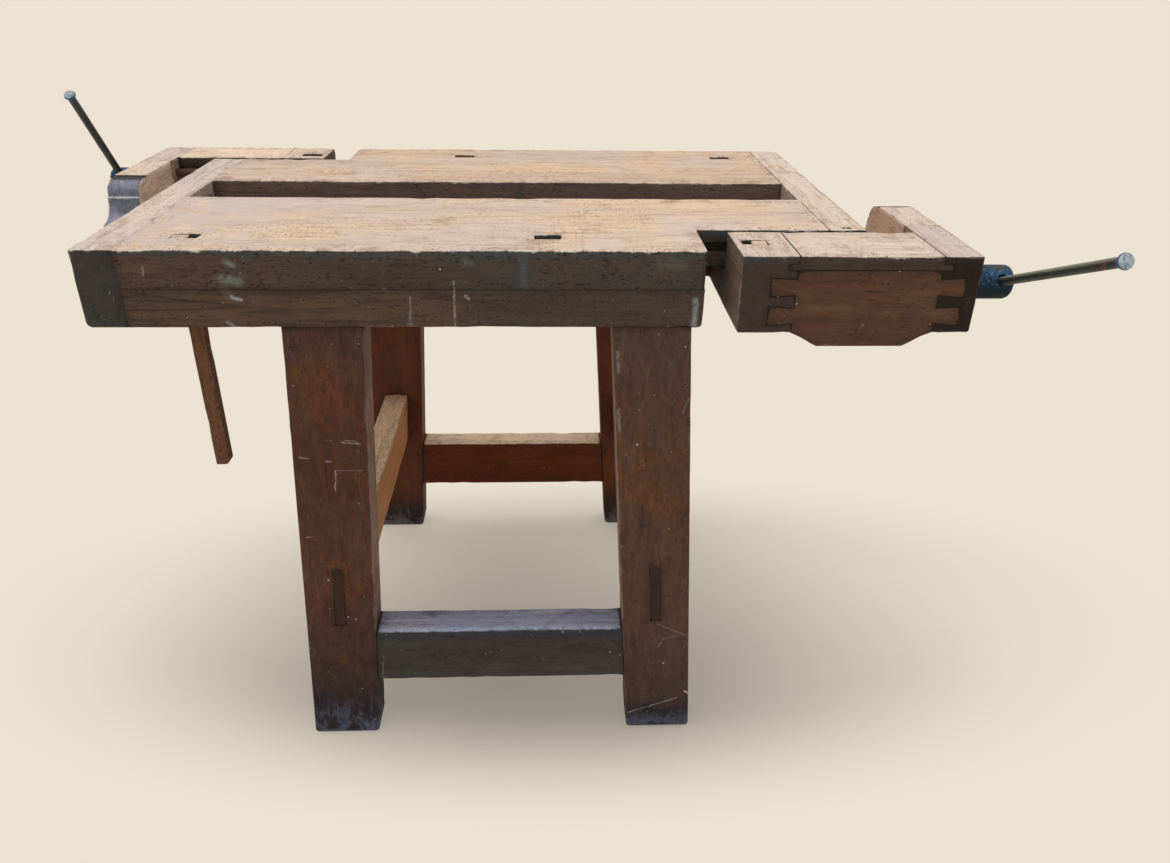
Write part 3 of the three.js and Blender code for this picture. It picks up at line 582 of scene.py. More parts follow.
def woodFinish(name, look):
    finish = Finish(name)
    grain = woodGrain(finish, look)
    upper = topShare(finish, look, grain)
    lower = 1 - upper
    colour = sideColour(finish, look, grain)
    if "foot" in look:
        colour = footStains(finish, look["foot"], grain, colour)
    colour = finish.mix(upper, colour, topColour(finish, look, grain))
    colour = finish.scaled(colour, grain.mottle * (lower * look["mottle"] + upper * 0.45) + 1)
    fibreTint = finish.mix(upper, look["side"][2], look["top"][2])
    colour = finish.mix(finish.fade(grain.fibres, 0.46, 0.7) * 0.3, colour, fibreTint)
    if "moulding" in look:
        colour = mouldingPaint(finish, look["moulding"], grain, colour)
    colour = arrisWear(finish, look, grain, lower, colour)

    grime = finish.fade(grain.seam, 0.0012, 0.0004) * look["grime"] * (lower * 0.6 + 0.4)
    # dirt and painted shade: side faces darken within about 12 mm of a neighbouring piece, where shade falls
    # between parts
    jointDirtAndShade = finish.fade(grain.seam + (grain.patches - 0.5) * 0.02, 0.012, 0.0) * lower * 0.25
    topLine = finish.fade(grain.seam, 0.0026, 0.0010) * upper * look["topLine"]
    colour = finish.mix(grime + jointDirtAndShade + topLine, colour, wood["dirtAndShadeTint"])

    wormy = finish.fade(grain.patches + grain.nearArris * 0.2, 0.47, 0.62)
    holes = finish.dots(grain.flat, wood["wormCells"], look["worm"], wood["wormRadius"]) * wormy
    pores = finish.fade(finish.grainCloud(grain.point, wood["pores"], 1.0), 0.64, 0.71)
    pores = pores * wormy * look["pores"]
    colour = finish.mix(finish.one("MAXIMUM", holes * 0.85, pores), colour, wood["holeTint"])
    specks = finish.cloud(grain.flat, wood["specks"], 2.0, 0.4)
    specks = finish.fade(specks, look["specks"], look["specks"] + 0.03)
    colour = finish.mix(specks * 0.8, colour, wood["speckTint"])
    first, second = (scratches(finish, grain.flat, angle, share) for angle, share in wood["scratchAngles"])
    scratch = first + second
    colour = finish.mix(scratch * look["scratch"], colour, look["wornTint"])
    if "marks" in look:
        colour = placedMarks(finish, look["marks"], grain, colour)

    relief = grain.lines * -0.3 + grain.streaks * 0.4 + grain.fibres * 0.35 + grain.scuffs * 0.25
    relief = relief - holes * 2.5 - pores + specks * 0.5 - scratch * 0.5
    roughness = 0.6 + grain.patches * 0.2 + grime * 0.1
    return finish.close(colour, roughness, relief, look["relief"], gloss=look["gloss"])


paleTop = [tint(223, 202, 188), tint(214, 188, 168), tint(164, 131, 107), tint(236, 205, 172)]
warmTop = [tint(219, 196, 179), tint(209, 181, 158), tint(158, 125, 100), tint(232, 198, 161)]
greyTop = [tint(231, 212, 197), tint(222, 199, 181), tint(172, 144, 123), tint(235, 213, 192)]
pinkTop = [tint(219, 202, 192), tint(211, 190, 176), tint(164, 136, 117), tint(227, 206, 189)]
white = tint(186, 183, 180)
greyGreen = tint(120, 130, 126)
plain = {  # what a wood has where its own entry says nothing else
    "topFrom": 0.797, "topShare": 1.0, "topLine": 0.0, "rings": 10, "lines": 0.25, "streaks": 0.5,
    "worm": 0.1, "pores": 0.6, "specks": 0.78, "scratch": 0.14, "mottle": 0.9, "band": 0.0, "worn": 0.4,
    "wornHigh": 0.0, "grime": 0.75, "smudge": 0.35, "endDark": 0.35, "relief": 0.0007, "gloss": 0.2,
    "endTint": tint(58, 48, 44), "smudgeTint": tint(74, 68, 63), "wornTint": tint(186, 168, 150)}


def onFace(face, lean, marks):  # marks by their x and z on a front face: two ends, width, colour, strength
    return [((x, face + lean * z, z), (endX, face + lean * endZ, endZ), *rest)
            for x, z, endX, endZ, *rest in marks]


frontMarks = onFace(-0.222, 0.0, [
    (0.2736, 0.737, 0.2737, 0.701, 0.0050, tint(150, 146, 146), 0.75),
    (0.2281, 0.784, 0.2503, 0.783, 0.0130, tint(92, 93, 84), 0.45),
    (-0.0285, 0.761, -0.0303, 0.701, 0.0016, white, 0.6),
    (-0.0831, 0.741, -0.0848, 0.712, 0.0014, white, 0.45),
    (-0.0848, 0.712, -0.0853, 0.700, 0.0042, tint(120, 112, 116), 0.7),
    (0.0583, 0.793, 0.0577, 0.758, 0.0075, tint(78, 88, 98), 0.45),
    (-0.0170, 0.786, -0.0073, 0.784, 0.0060, tint(98, 106, 106), 0.5),
    (-0.0142, 0.742, -0.0095, 0.737, 0.0030, white, 0.45),
    (-0.3003, 0.785, -0.2940, 0.781, 0.0055, greyGreen, 0.7),
    (-0.3090, 0.764, -0.2902, 0.760, 0.0085, greyGreen, 0.6),
    (-0.3080, 0.750, -0.3040, 0.742, 0.0080, tint(92, 92, 92), 0.5),
    (-0.3010, 0.741, -0.2904, 0.737, 0.0032, tint(168, 170, 170), 0.7),
    (-0.3112, 0.708, -0.3059, 0.703, 0.0034, tint(140, 146, 148), 0.8),
    (-0.4000, 0.780, -0.4024, 0.769, 0.0016, tint(140, 136, 132), 0.7),
])
legFace, legLean = -0.22902, 11 / 700  # the front legs' faces at the floor, and their splay
leftLegMarks = onFace(legFace, legLean, [
    (-0.1916, 0.5350, -0.1666, 0.5325, 0.0014, white, 0.5),
    (-0.1880, 0.5385, -0.1700, 0.5365, 0.0010, white, 0.35),
    (-0.2126, 0.5382, -0.2046, 0.5381, 0.0013, white, 0.25),
    (-0.2504, 0.5124, -0.2386, 0.5108, 0.0017, white, 0.4),
    (-0.2150, 0.5067, -0.2083, 0.5059, 0.0016, white, 0.35),
    (-0.2040, 0.4910, -0.2076, 0.4592, 0.0014, white, 0.45),
    (-0.2040, 0.4912, -0.1680, 0.4914, 0.0009, white, 0.25),
    (-0.1775, 0.4653, -0.1757, 0.4426, 0.0016, tint(34, 22, 18), 0.8),
    (-0.2570, 0.3828, -0.2440, 0.3852, 0.0014, white, 0.5),
    (-0.2418, 0.1768, -0.2277, 0.1528, 0.0120, tint(92, 56, 34), 0.5),
])
rightLegMarks = onFace(legFace, legLean, [
    (0.2150, 0.0382, 0.2900, 0.0670, 0.0010, white, 0.6),
    (0.2552, 0.1726, 0.2620, 0.1890, 0.0009, white, 0.4),
    (0.2620, 0.1890, 0.2973, 0.1975, 0.0008, white, 0.4),
    (0.2529, 0.2168, 0.2974, 0.1955, 0.0008, white, 0.35),
    (0.2681, 0.5766, 0.2748, 0.5988, 0.0010, white, 0.35),
    (0.3030, 0.0806, 0.3115, 0.0746, 0.0030, tint(196, 190, 184), 0.9),
    (0.1810, 0.5816, 0.1841, 0.5484, 0.0030, tint(150, 140, 135), 0.5),
    (0.1771, 0.6650, 0.1793, 0.6369, 0.0030, tint(150, 140, 135), 0.5),
    (0.2827, 0.3504, 0.2927, 0.3556, 0.0014, tint(30, 22, 20), 0.9),
])
frontLeg = {
    **plain, "topShare": 0.0, "worm": 0.06, "specks": 0.75, "worn": 0.25, "smudge": 0.25, "lines": 0.1,
    "streaks": 0.35, "wornTint": tint(134, 112, 100), "smudgeTint": tint(62, 47, 41), "scratch": 0.26,
    # painted light: the faces turned to the bench's middle are lighter, to lift the shade on them
    "top": paleTop, "gloss": 0.15, "inwardPaintedLight": tint(148, 120, 106), "relief": 0.0004, "grime": 0.45,
    "mottle": 1.9}
knotMark = ((0.4850, -0.1141, 0.8), (0.4925, -0.1150, 0.8), 0.0036, tint(40, 28, 22), 2.4)
cap = {
    **plain, "worm": 0.25, "worn": 0.7, "wornHigh": 0.8, "lines": 0.15, "endDark": 0.95,
    "wornTint": tint(216, 204, 190), "endTint": tint(56, 54, 51), "endAlso": tint(60, 64, 62),
    # painted light: the x-facing faces are lighter, to lift the shade in the tool well
    "faces": [((1, 0, 0), tint(196, 172, 150)), ((-1, 0, 0), tint(190, 170, 152))],
    "side": [tint(96, 80, 70), tint(84, 70, 61), tint(52, 42, 37), tint(92, 84, 76)],
    "marks": [knotMark]}
cover = {
    **plain, "worm": 0.15, "worn": 0.5, "wornHigh": 0.8, "band": 0.1, "endDark": 0.8,
    "wornTint": tint(214, 204, 190), "endTint": tint(54, 44, 40),
    "side": [tint(71, 54, 47), tint(61, 47, 41), tint(42, 33, 29), tint(72, 59, 52)]}
chipMark = ((0.2700, -0.1720, 0.8), (0.2760, -0.1713, 0.8), 0.0022, tint(60, 45, 38), 0.8)
woods = {
    "frontTopWood": {
        **plain, "top": paleTop, "worm": 0.42, "specks": 0.74, "worn": 0.75, "wornHigh": 0.9,
        "band": 0.7, "wornTint": tint(222, 212, 200), "endTint": tint(60, 50, 45), "endDark": 0.8,
        "pores": 0.8, "grime": 0.3,
        "side": [tint(76, 62, 54), tint(66, 54, 47), tint(44, 35, 31), tint(83, 64, 52)],
        "gradients": [("X", -0.13, 0.05, 0.16, tint(67, 61, 56), 0.75)],
        "topGradients": [("X", -0.12, -0.42, 0.3, tint(213, 197, 189), 0.9)],
        "marks": [*frontMarks, chipMark]},
    "rearTopWood": {
        **plain, "top": warmTop, "worm": 0.2, "worn": 0.7, "wornHigh": 0.9, "band": 0.3,
        "wornTint": tint(206, 196, 186), "endTint": tint(60, 50, 45), "endDark": 0.8,
        # painted light: these sides, the tool well's far wall among them, are lighter than the front plank's,
        # to lift the shade in the well
        "side": [tint(114, 90, 79), tint(100, 79, 69), tint(68, 53, 46), tint(120, 96, 85)]},
    "leftCapWood": {**cap, "top": pinkTop, "grime": 0.2},
    "rightCapWood": {**cap, "top": greyTop, "topLine": 0.9},
    "frontCoverWood": {**cover, "top": greyTop, "topLine": 0.9},
    "rearCoverWood": {
        **cover, "topLine": 0.1,
        "top": [tint(242, 219, 200), tint(232, 206, 184), tint(176, 146, 124), tint(246, 220, 192)]},
    "edgeWood": {
        **plain, "top": paleTop, "worm": 0.25, "specks": 0.75, "worn": 0.25, "lines": 0.5, "streaks": 0.6,
        "rings": 6, "endTint": tint(58, 47, 42), "endDark": 0.7, "grime": 0.3,
        "side": [tint(82, 63, 53), tint(72, 56, 48), tint(46, 34, 28), tint(86, 66, 51)],
        "gradients": [("X", -0.09, 0.08, 0.16, tint(66, 58, 54), 0.7)], "marks": frontMarks},
    "leftLegWood": {
        **frontLeg, "warm": tint(96, 54, 30),
        "side": [tint(80, 49, 37), tint(74, 46, 36), tint(52, 34, 28), tint(84, 54, 42)],
        "gradients": [("Z", 0.56, 0.71, 0.16, tint(70, 56, 50), 0.45),
                      ("Z", 0.33, 0.11, 0.25, tint(55, 41, 40), 0.85)],
        "foot": (0.125, tint(36, 31, 36), tint(88, 94, 117)), "marks": leftLegMarks},
    "rightLegWood": {
        **frontLeg, "warm": tint(100, 62, 36),
        "side": [tint(86, 59, 47), tint(78, 54, 44), tint(56, 40, 34), tint(86, 64, 53)],
        "gradients": [("Z", 0.52, 0.70, 0.16, tint(76, 62, 56), 0.5),
                      ("Z", 0.24, 0.09, 0.25, tint(64, 50, 46), 0.8)],
        "foot": (0.085, tint(34, 31, 36), tint(82, 88, 110)), "marks": rightLegMarks},
    "darkLegWood": {
        **plain, "topShare": 0.0, "worm": 0.04, "worn": 0.3, "top": paleTop, "lines": 0.15, "streaks": 0.3,
        "wornTint": tint(120, 84, 64), "smudgeTint": tint(72, 46, 34), "smudge": 0.2, "relief": 0.0004,
        "side": [tint(102, 56, 34), tint(88, 46, 27), tint(58, 32, 20), tint(106, 62, 40)],
        "gradients": [("Z", 0.15, 0.03, 0.2, tint(52, 38, 34), 0.8)],
        "foot": (0.090, tint(42, 33, 34), tint(112, 108, 112)), "warm": tint(108, 58, 29), "mottle": 1.3},
    "stretcherWood": {
        **plain, "topFrom": 0.0, "worn": 0.2, "endDark": 0.9, "smudge": 0.1,
        "smudgeTint": tint(70, 40, 22),
        # partly painted light: the rail's top is as pale as it can be, to lift the shade under the bench
        "top": [tint(255, 224, 184), tint(250, 212, 170), tint(180, 140, 106), tint(255, 232, 198)],
        "side": [tint(98, 44, 15), tint(85, 37, 12), tint(58, 26, 9), tint(108, 54, 22)]},
    "sideStretcherWood": {
        **plain, "topFrom": 0.0, "worm": 0.16, "worn": 0.2, "endDark": 0.97, "endTint": tint(31, 22, 27),
        "endAlso": tint(40, 31, 35), "smudge": 0.1, "grime": 0.3,
        # partly painted light: the rail's top is as pale as it can be, to lift the shade under the bench
        "top": [tint(255, 216, 174), tint(246, 204, 160), tint(172, 130, 98), tint(255, 226, 188)],
        "side": [tint(188, 126, 76), tint(168, 110, 64), tint(116, 74, 44), tint(194, 138, 88)]},
    "frontStretcherWood": {
        **plain, "topFrom": 0.0, "specks": 0.74, "worn": 0.25, "smudge": 0.4, "lines": 0.15,
        "streaks": 0.35, "wornTint": tint(142, 140, 150), "mottle": 1.5,
        "top": [tint(142, 142, 160), tint(126, 126, 143), tint(80, 80, 92), tint(160, 158, 170)],
        "side": [tint(62, 54, 54), tint(54, 47, 47), tint(40, 34, 34), tint(62, 61, 59)],
        "gradients": [("Z", 0.180, 0.200, 0.012, tint(42, 45, 54), 0.55)],
        "topGradients": [("Y", -0.2090, -0.2180, 0.004, tint(158, 166, 192), 0.8)],
        "marks": onFace(-0.2225, 0.0, [(-0.1694, 0.160, -0.1740, 0.116, 0.0018, tint(130, 124, 120), 0.5)])},
    "viseWood": {
        **plain, "top": paleTop, "specks": 0.75, "worn": 0.2, "smudge": 0.2, "lines": 0.15,
        "streaks": 0.4, "smudgeTint": tint(74, 56, 46), "mottle": 1.4,
        "side": [tint(90, 62, 45), tint(79, 53, 39), tint(56, 38, 29), tint(95, 68, 50)]},
    "blockWood": {
        **plain, "top": paleTop, "worm": 0.14, "worn": 0.5, "endDark": 0.97, "band": 0.4, "wornHigh": 0.3,
        "endTint": tint(63, 49, 45), "endAlso": tint(58, 53, 49), "wornTint": tint(160, 142, 126),
        "side": [tint(124, 103, 87), tint(108, 89, 75), tint(74, 59, 50), tint(130, 112, 96)],
        "gradients": [("Y", -0.190, -0.125, 0.10, tint(66, 50, 41), 0.75)]},
    "endBlockWood": {
        **plain, "top": pinkTop, "worn": 0.3, "endDark": 0.97, "band": 0.2, "wornHigh": 0.3,
        "endTint": tint(29, 20, 17), "endAlso": tint(30, 26, 24), "wornTint": tint(140, 122, 108),
        # painted light: the inner face, in shade beside the arm, is lighter
        "inwardPaintedLight": tint(196, 166, 142), "mottle": 1.6,
        "side": [tint(100, 80, 67), tint(88, 70, 59), tint(58, 45, 38), tint(106, 88, 75)]},
    "armWood": {
        **plain, "top": greyTop, "wornTint": tint(214, 198, 180), "smudge": 0.15, "moulding": moulding,
        "endDark": 0.0,
        # painted light: the arm's sides are nearly as pale as its top, to lift the shade on its inner face
        "side": [tint(224, 192, 165), tint(206, 173, 146), tint(142, 114, 94), tint(230, 204, 180)]},
    "innerWood": {
        **plain, "topShare": 0.0, "top": paleTop, "worm": 0.03, "specks": 0.9, "worn": 0.0,
        "side": [tint(82, 57, 41), tint(70, 48, 35), tint(50, 34, 25), tint(88, 64, 47)]},
    "dogWood": {
        **plain, "top": paleTop, "worm": 0.03, "specks": 0.8, "worn": 0.2, "endDark": 0.2, "smudge": 0.15,
        "side": [tint(108, 70, 48), tint(94, 60, 41), tint(62, 39, 28), tint(112, 78, 56)]},
}
finishes = {name: woodFinish(name, look) for name, look in woods.items()}
print("wood finishes:", len(finishes))


# Which wood, grain and record slot each piece has
pieces = {}
for side, stretcher, legs in (("front", "frontStretcherWood", ("leftLegWood", "rightLegWood")),
                              ("rear", "stretcherWood", ("darkLegWood", "darkLegWood"))):
    pieces[side + "_plank"] = (side + "TopWood", "x", "top_wood")
    pieces[side + "_edge_strip"] = ("edgeWood", "x", "edge_wood")
    pieces[side + "_stretcher"] = (stretcher, "x", "stretcher_wood")
    for hand, leg in zip(("left", "right"), legs):
        pieces[f"{side}_{hand}_leg"] = (leg, "z", "leg_wood")
    vise = side + "_vise_"
    pieces[vise + "jaw_block"] = ("blockWood", "y", "block_wood")
    pieces[vise + "end_block"] = ("endBlockWood", "y", "block_wood")
    pieces[vise + "arm"] = ("armWood", "y", "block_wood")
    pieces[vise + "front_board"] = ("viseWood", "x", "vise_wood")
    pieces[vise + "cover_board"] = (side + "CoverWood", "x", "top_wood")
    pieces[vise + "guide_tongue"] = ("innerWood", "x", "inner_wood")
    pieces[vise + "guide_foot"] = ("innerWood", "y", "inner_wood")
    pieces[vise + "guide_rail"] = ("innerWood", "x", "inner_wood")
    pieces[vise + "nut_block"] = ("innerWood", "z", "inner_wood")
for hand in ("left", "right"):
    pieces[hand + "_end_cap"] = (hand + "CapWood", "y", "top_wood")
    pieces[hand + "_stretcher"] = ("sideStretcherWood", "y", "stretcher_wood")
    pieces[hand + "_bearer"] = ("innerWood", "y", "inner_wood")
pieces["tool_well_board"] = ("innerWood", "x", "inner_wood")
pieces["long_dog"] = ("dogWood", "z", "dog_wood")
pieces["short_dog"] = ("dogWood", "z", "dog_wood")

# Arrises worn rounder than the rest. Each is found by a small box that holds its middle, and has a radius
rounding = {"reach": 0.0015, "notch": 0.007, "sole": 0.014, "tenon": 0.004, "tenonInset": (0.008, 0.044)}
roundArrises = {  # where on the piece's box: -1 is its low side, 0 its middle and 1 its high side
    "left_end_cap": ((-1, 0, -1), 0.008), "right_end_cap": ((1, 0, -1), 0.008),
    "front_edge_strip": ((1, 0, -1), 0.006), "rear_edge_strip": ((-1, 0, -1), 0.006),
    "front_vise_jaw_block": ((-1, 0, -1), 0.006), "rear_vise_jaw_block": ((1, 0, -1), 0.006),
    "front_vise_end_block": ((1, 0, -1), 0.005), "rear_vise_end_block": ((-1, 0, -1), 0.005),
    "front_stretcher": ((0, -1, 1), 0.009)}
reach = Vector([rounding["reach"]] * 3)


def boxPoint(name, ways):
    low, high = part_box(name)
    return Vector([(a + b + way * (b - a)) / 2 for a, b, way in zip(low, high, ways)])


def roundFrom(low, high, radius):  # the arrises with their middles between two points
    return low - reach, high + reach, radius


rounded = {}
for name, (ways, radius) in roundArrises.items():
    middle = boxPoint(name, ways)
    rounded[name] = [roundFrom(middle, middle, radius)]
notch = boxPoint("front_edge_strip", (1, -1, 0))  # the plank is cut back for the vise where its strip ends
notch.z = boxPoint("front_plank", (0, 0, 0)).z
rounded["front_plank"] = [roundFrom(notch, notch, rounding["notch"])]
for name in ("front_left_leg", "front_right_leg", "rear_left_leg", "rear_right_leg"):
    rounded[name] = [roundFrom(boxPoint(name, (-1, -1, -1)), boxPoint(name, (1, 1, -1)), rounding["sole"])]
for name in ("left_stretcher", "right_stretcher"):  # the long corners of the through tenons
    low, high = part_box(name)
    near, far = rounding["tenonInset"]
    rounded[name] = [
        roundFrom(Vector((low.x, start, low.z)), Vector((high.x, end, high.z)), rounding["tenon"])
        for start, end in ((low.y + near, low.y + far), (high.y - far, high.y - near))]


def dress(made, name, finish):  # the new piece stands for the node and moves as it does
    made.data.materials.append(finish)
    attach(made, nodes[name]["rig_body"])
    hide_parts(name)


for number, (name, (finish, grain, slot)) in enumerate(pieces.items()):
    along, across, deep = board["shift"]  # each piece is cut from another place in the wood
    shift = Vector((along * number, across * (number % 7), deep * (number % 5)))
    wear = board["legWear"] if slot == "leg_wood" else 1.0
    dress(wornBoard(name, grain, shift, rounded.get(name, ()), wear), name, finishes[finish])
print("worn boards:", len(pieces))


# Ironwork
def turnedMesh(name, profile, start, direction, segments):  # profile is (distance along, radius)
    direction = direction.normalized()
    aside = direction.orthogonal().normalized()
    third = direction.cross(aside)
    rings = []
    for along, radius in profile:
        middle = start + direction * along
        angles = [2 * math.pi * i / segments for i in range(segments)]
        rings.append([middle + radius * (math.cos(a) * aside + math.sin(a) * third) for a in angles])
    faces = []
    for r in range(len(rings) - 1):
        for i in range(segments):
            j = (i + 1) % segments
            faces.append((r * segments + i, r * segments + j, (r + 1) * segments + j, (r + 1) * segments + i))
    last = (len(rings) - 1) * segments
    faces.append(tuple(reversed(range(segments))))
    faces.append(tuple(range(last, last + segments)))
    mesh = bpy.data.meshes.new(name)
    mesh.from_pydata([p for ring in rings for p in ring], [], faces)
    return mesh


def lengthwise(name):  # a long node's middle, its direction and half its length
    points = np.array([v.co for v in nodes[name].data.vertices])
    middle = (points.min(0) + points.max(0)) / 2
    direction = np.linalg.svd(points - points.mean(0), full_matrices=False)[2][0]
    along = (points - middle) @ direction
    middle = middle + direction * (along.min() + along.max()) / 2
    half = (along.max() - along.min()) / 2
    return Vector(middle), Vector(direction), half


outwardOf = {"front": 1, "rear": -1}  # which way along x each vise's screw points


def lyingRod(name, outward):  # a rod along x: the middle of its inner end, its length and its radius
    low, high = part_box(name)
    inner = low.x if outward > 0 else high.x
    return Vector((inner, (low.y + high.y) / 2, (low.z + high.z) / 2)), high.x - low.x, (high.z - low.z) / 2


bar = {"radius": 0.006, "flare": 0.009, "flareLength": 0.009, "segments": 40, "rings": 30, "sharpFrom": 50,
       "flareShape": ((0.0, 0.55), (0.0007, 0.86), (0.0018, 0.98), (0.0032, 1.0), (0.0048, 0.95),
                      (0.0066, 0.8)),
       "dent": 0.0006, "dentSize": 160.0, "dentNoise": (0.7, 2.0, 3), "endReach": 0.02, "faceDepth": 0.0012}


def tommyBar(name):
    middle, direction, half = lengthwise(name)
    start = middle - direction * half
    flared = [(along, bar["flare"] * share) for along, share in bar["flareShape"]]
    flared.append((bar["flareLength"], bar["radius"]))
    shank = [(2 * half * i / bar["rings"], bar["radius"]) for i in range(2, bar["rings"] - 1)]
    profile = flared + shank + [(2 * half - along, radius) for along, radius in reversed(flared)]
    mesh = turnedMesh("turned_" + name, profile, start, direction, bar["segments"])
    endFaces, endShares = [], []
    for v in mesh.vertices:  # dented, most of all near the ends
        along = (v.co - middle).dot(direction)
        outward = v.co - middle - along * direction
        share = max(0.0, 1 - (half - abs(along)) / bar["endReach"])
        dent = bar["dent"] * (0.25 + share) * noise.fractal(v.co * bar["dentSize"], *bar["dentNoise"])
        v.co += outward.normalized() * min(0.0, dent)
        endFaces.append(float(half - abs(along) < bar["faceDepth"]))
        endShares.append(share)
    store(mesh, "endFace", "FLOAT", "value", endFaces)
    store(mesh, "endNear", "FLOAT", "value", endShares)
    smoothed(mesh, bar["sharpFrom"])
    return linked("turned_" + name, mesh)


# The hub's rim is given by the distance along it and how far it lies under the hub's radius
hub = {"barToEnd": 0.018, "round": 0.009, "roundSteps": 10, "holeRadius": 0.0075, "holeSegments": 40,
       "rim": ((0, 0.0025), (0.0008, 0.0008), (0.0025, 0), (0.010, 0), (0.0112, 0.0007), (0.0125, 0)),
       "segments": 64, "sharpFrom": 40}


def cutAway(target, cutter):  # takes the cutter's shape out of the target's mesh
    change = target.modifiers.new("cut", "BOOLEAN")
    change.object = cutter
    change.solver = "EXACT"
    graph = bpy.context.evaluated_depsgraph_get()
    mesh = bpy.data.meshes.new_from_object(target.evaluated_get(graph))
    target.modifiers.clear()
    target.data = mesh
    bpy.data.objects.remove(cutter)


def screwHub(side):
    name = side + "_vise_hub"
    axis = Vector((outwardOf[side], 0, 0))
    start, length, radius = lyingRod(name, outwardOf[side])
    profile = [(along, radius - under) for along, under in hub["rim"]]
    for i in range(hub["roundSteps"] + 1):
        angle = math.pi / 2 * i / hub["roundSteps"]
        profile.append((length - hub["round"] * (1 - math.sin(angle)),
                        radius - hub["round"] * (1 - math.cos(angle))))
    made = linked("cast_" + name, turnedMesh("cast_" + name, profile, start, axis, hub["segments"]))
    barWay = lengthwise(side + "_vise_tommy_bar")[1]
    through = start + axis * (length - hub["barToEnd"]) - barWay * 2 * radius
    bore = [(0, hub["holeRadius"]), (4 * radius, hub["holeRadius"])]
    cutAway(made, linked("hole", turnedMesh("hole", bore, through, barWay, hub["holeSegments"])))
    smoothed(made.data, hub["sharpFrom"])
    return made


# The thread's section is given by shares of the lead and of the depth
thread = {"lead": 0.008, "depth": 0.0022, "section": ((0.0, 1.3), (0.16, 0), (0.5, 0), (0.66, 1.3)),
          "steps": 24, "sunk": 1.2, "tipGap": 0.001, "tipEase": 0.002, "taper": 0.006, "journal": 0.055,
          "hubShaft": 0.009, "shaftSegments": 40, "sharpFrom": 40}


def threadRidge(name, tip, outward, radius, turns):  # one closed ridge wound round the core
    steps, section = thread["steps"], thread["section"]
    last, width = turns * steps, len(section)
    vertices, faces = [], []
    for step in range(last + 1):
        angle = 2 * math.pi * step / steps
        rise = min(1.0, step / steps, (last - step) / steps)
        for share, deep in section:
            x = tip.x + outward * (thread["tipGap"] + (step / steps + share) * thread["lead"])
            r = radius - thread["depth"] * max(deep, thread["sunk"] * (1 - rise))
            vertices.append((x, tip.y + r * math.cos(angle), tip.z + outward * r * math.sin(angle)))
    for step in range(last):
        for k in range(width):
            a, b = step * width + k, step * width + (k + 1) % width
            faces.append((a, b, b + width, a + width))
    faces.append(tuple(range(width)))
    faces.append(tuple(last * width + k for k in range(width)))
    mesh = bpy.data.meshes.new(name)
    mesh.from_pydata(vertices, [], faces)
    return mesh


def viseScrew(side):
    name = side + "_vise_screw"
    outward = outwardOf[side]
    tip, length, radius = lyingRod(name, outward)
    washerLow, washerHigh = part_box(side + "_vise_washer")
    seat = abs((washerHigh.x if outward > 0 else washerLow.x) - tip.x)
    plainFrom = seat - thread["journal"]  # the smooth journal in the end block
    turns = int((plainFrom - thread["tipEase"]) / thread["lead"] - 1)
    mesh = threadRidge("cut_" + name, tip, outward, radius, turns)
    core, tipEase, thin = radius - thread["depth"], thread["tipEase"], thread["hubShaft"]
    profile = [(0.0, core - tipEase), (tipEase, core), (plainFrom - thread["taper"], core),
               (plainFrom, radius), (seat, radius), (seat, thin), (length, thin)]
    shaft = turnedMesh("shaft", profile, tip, Vector((outward, 0, 0)), thread["shaftSegments"])
    work = bmesh.new()
    work.from_mesh(mesh)
    work.from_mesh(shaft)
    bmesh.ops.recalc_face_normals(work, faces=work.faces)
    work.to_mesh(mesh)
    work.free()
    smoothed(mesh, thread["sharpFrom"])
    return linked("cut_" + name, mesh)


iron = {"broad": 28.0, "fine": 170.0, "grit": 700.0, "rustTint": tint(112, 66, 40), "relief": 0.0006,
        "bareTints": (tint(168, 182, 192), tint(112, 130, 142))}


def ironFinish(name, look):
    finish = Finish(name)
    place = finish.place()
    upward = finish.part(finish.place("Normal"), "Z")
    broad = finish.cloud(place, iron["broad"], 3.0, 0.6)
    fine = finish.cloud(place, iron["fine"], 4.0, 0.7)
    grit = finish.cloud(place, iron["grit"], 2.0, 0.6)
    colour = finish.mix(finish.fade(broad, 0.38, 0.66), *look["metal"])
    # dust and painted highlight: faces that look up are paler
    upwardDustAndSheen = finish.fade(upward + (fine - 0.5) * 0.7, 0.0, 0.8) * look["dustAndSheen"]
    colour = finish.mix(upwardDustAndSheen, colour, look["dustAndSheenTint"])
    colour = finish.mix(finish.fade(fine, 0.56, 0.68) * look["patina"], colour, look["patinaTint"])
    rust = finish.fade(fine * 0.5 + broad * 0.5, 0.56, 0.63) * look["rust"]
    colour = finish.mix(rust, colour, iron["rustTint"])
    if "endPaint" in look:  # paint left round the flared ends, and their bare faces
        left = finish.fade(finish.stored("endNear") + (fine - 0.5) * 1.2, 0.35, 0.55)
        colour = finish.mix(left * 0.8, colour, look["endPaint"])
        bare = finish.mix(finish.fade(fine, 0.42, 0.62), *iron["bareTints"])
        colour = finish.mix(finish.stored("endFace") * finish.fade(fine, 0.3, 0.42), colour, bare)
    roughness = look["rough"] + fine * 0.2 + rust * 0.2
    relief = fine * 0.6 + grit * 0.3 - rust * 0.3
    metal = look["shine"] * (1 - rust)
    return finish.close(colour, roughness, relief, iron["relief"], metal, 0.5)


# the under and upper tints are painted shade and painted highlight on the hub
hubBlue = {"paint": tint(20, 50, 70), "under": tint(17, 37, 44), "upper": tint(42, 80, 112), "broad": 34.0,
           "fine": 190.0, "flecks": 260.0, "fleckTint": tint(128, 150, 164), "relief": 0.0007,
           "chipTints": (tint(34, 40, 44), tint(88, 76, 62))}


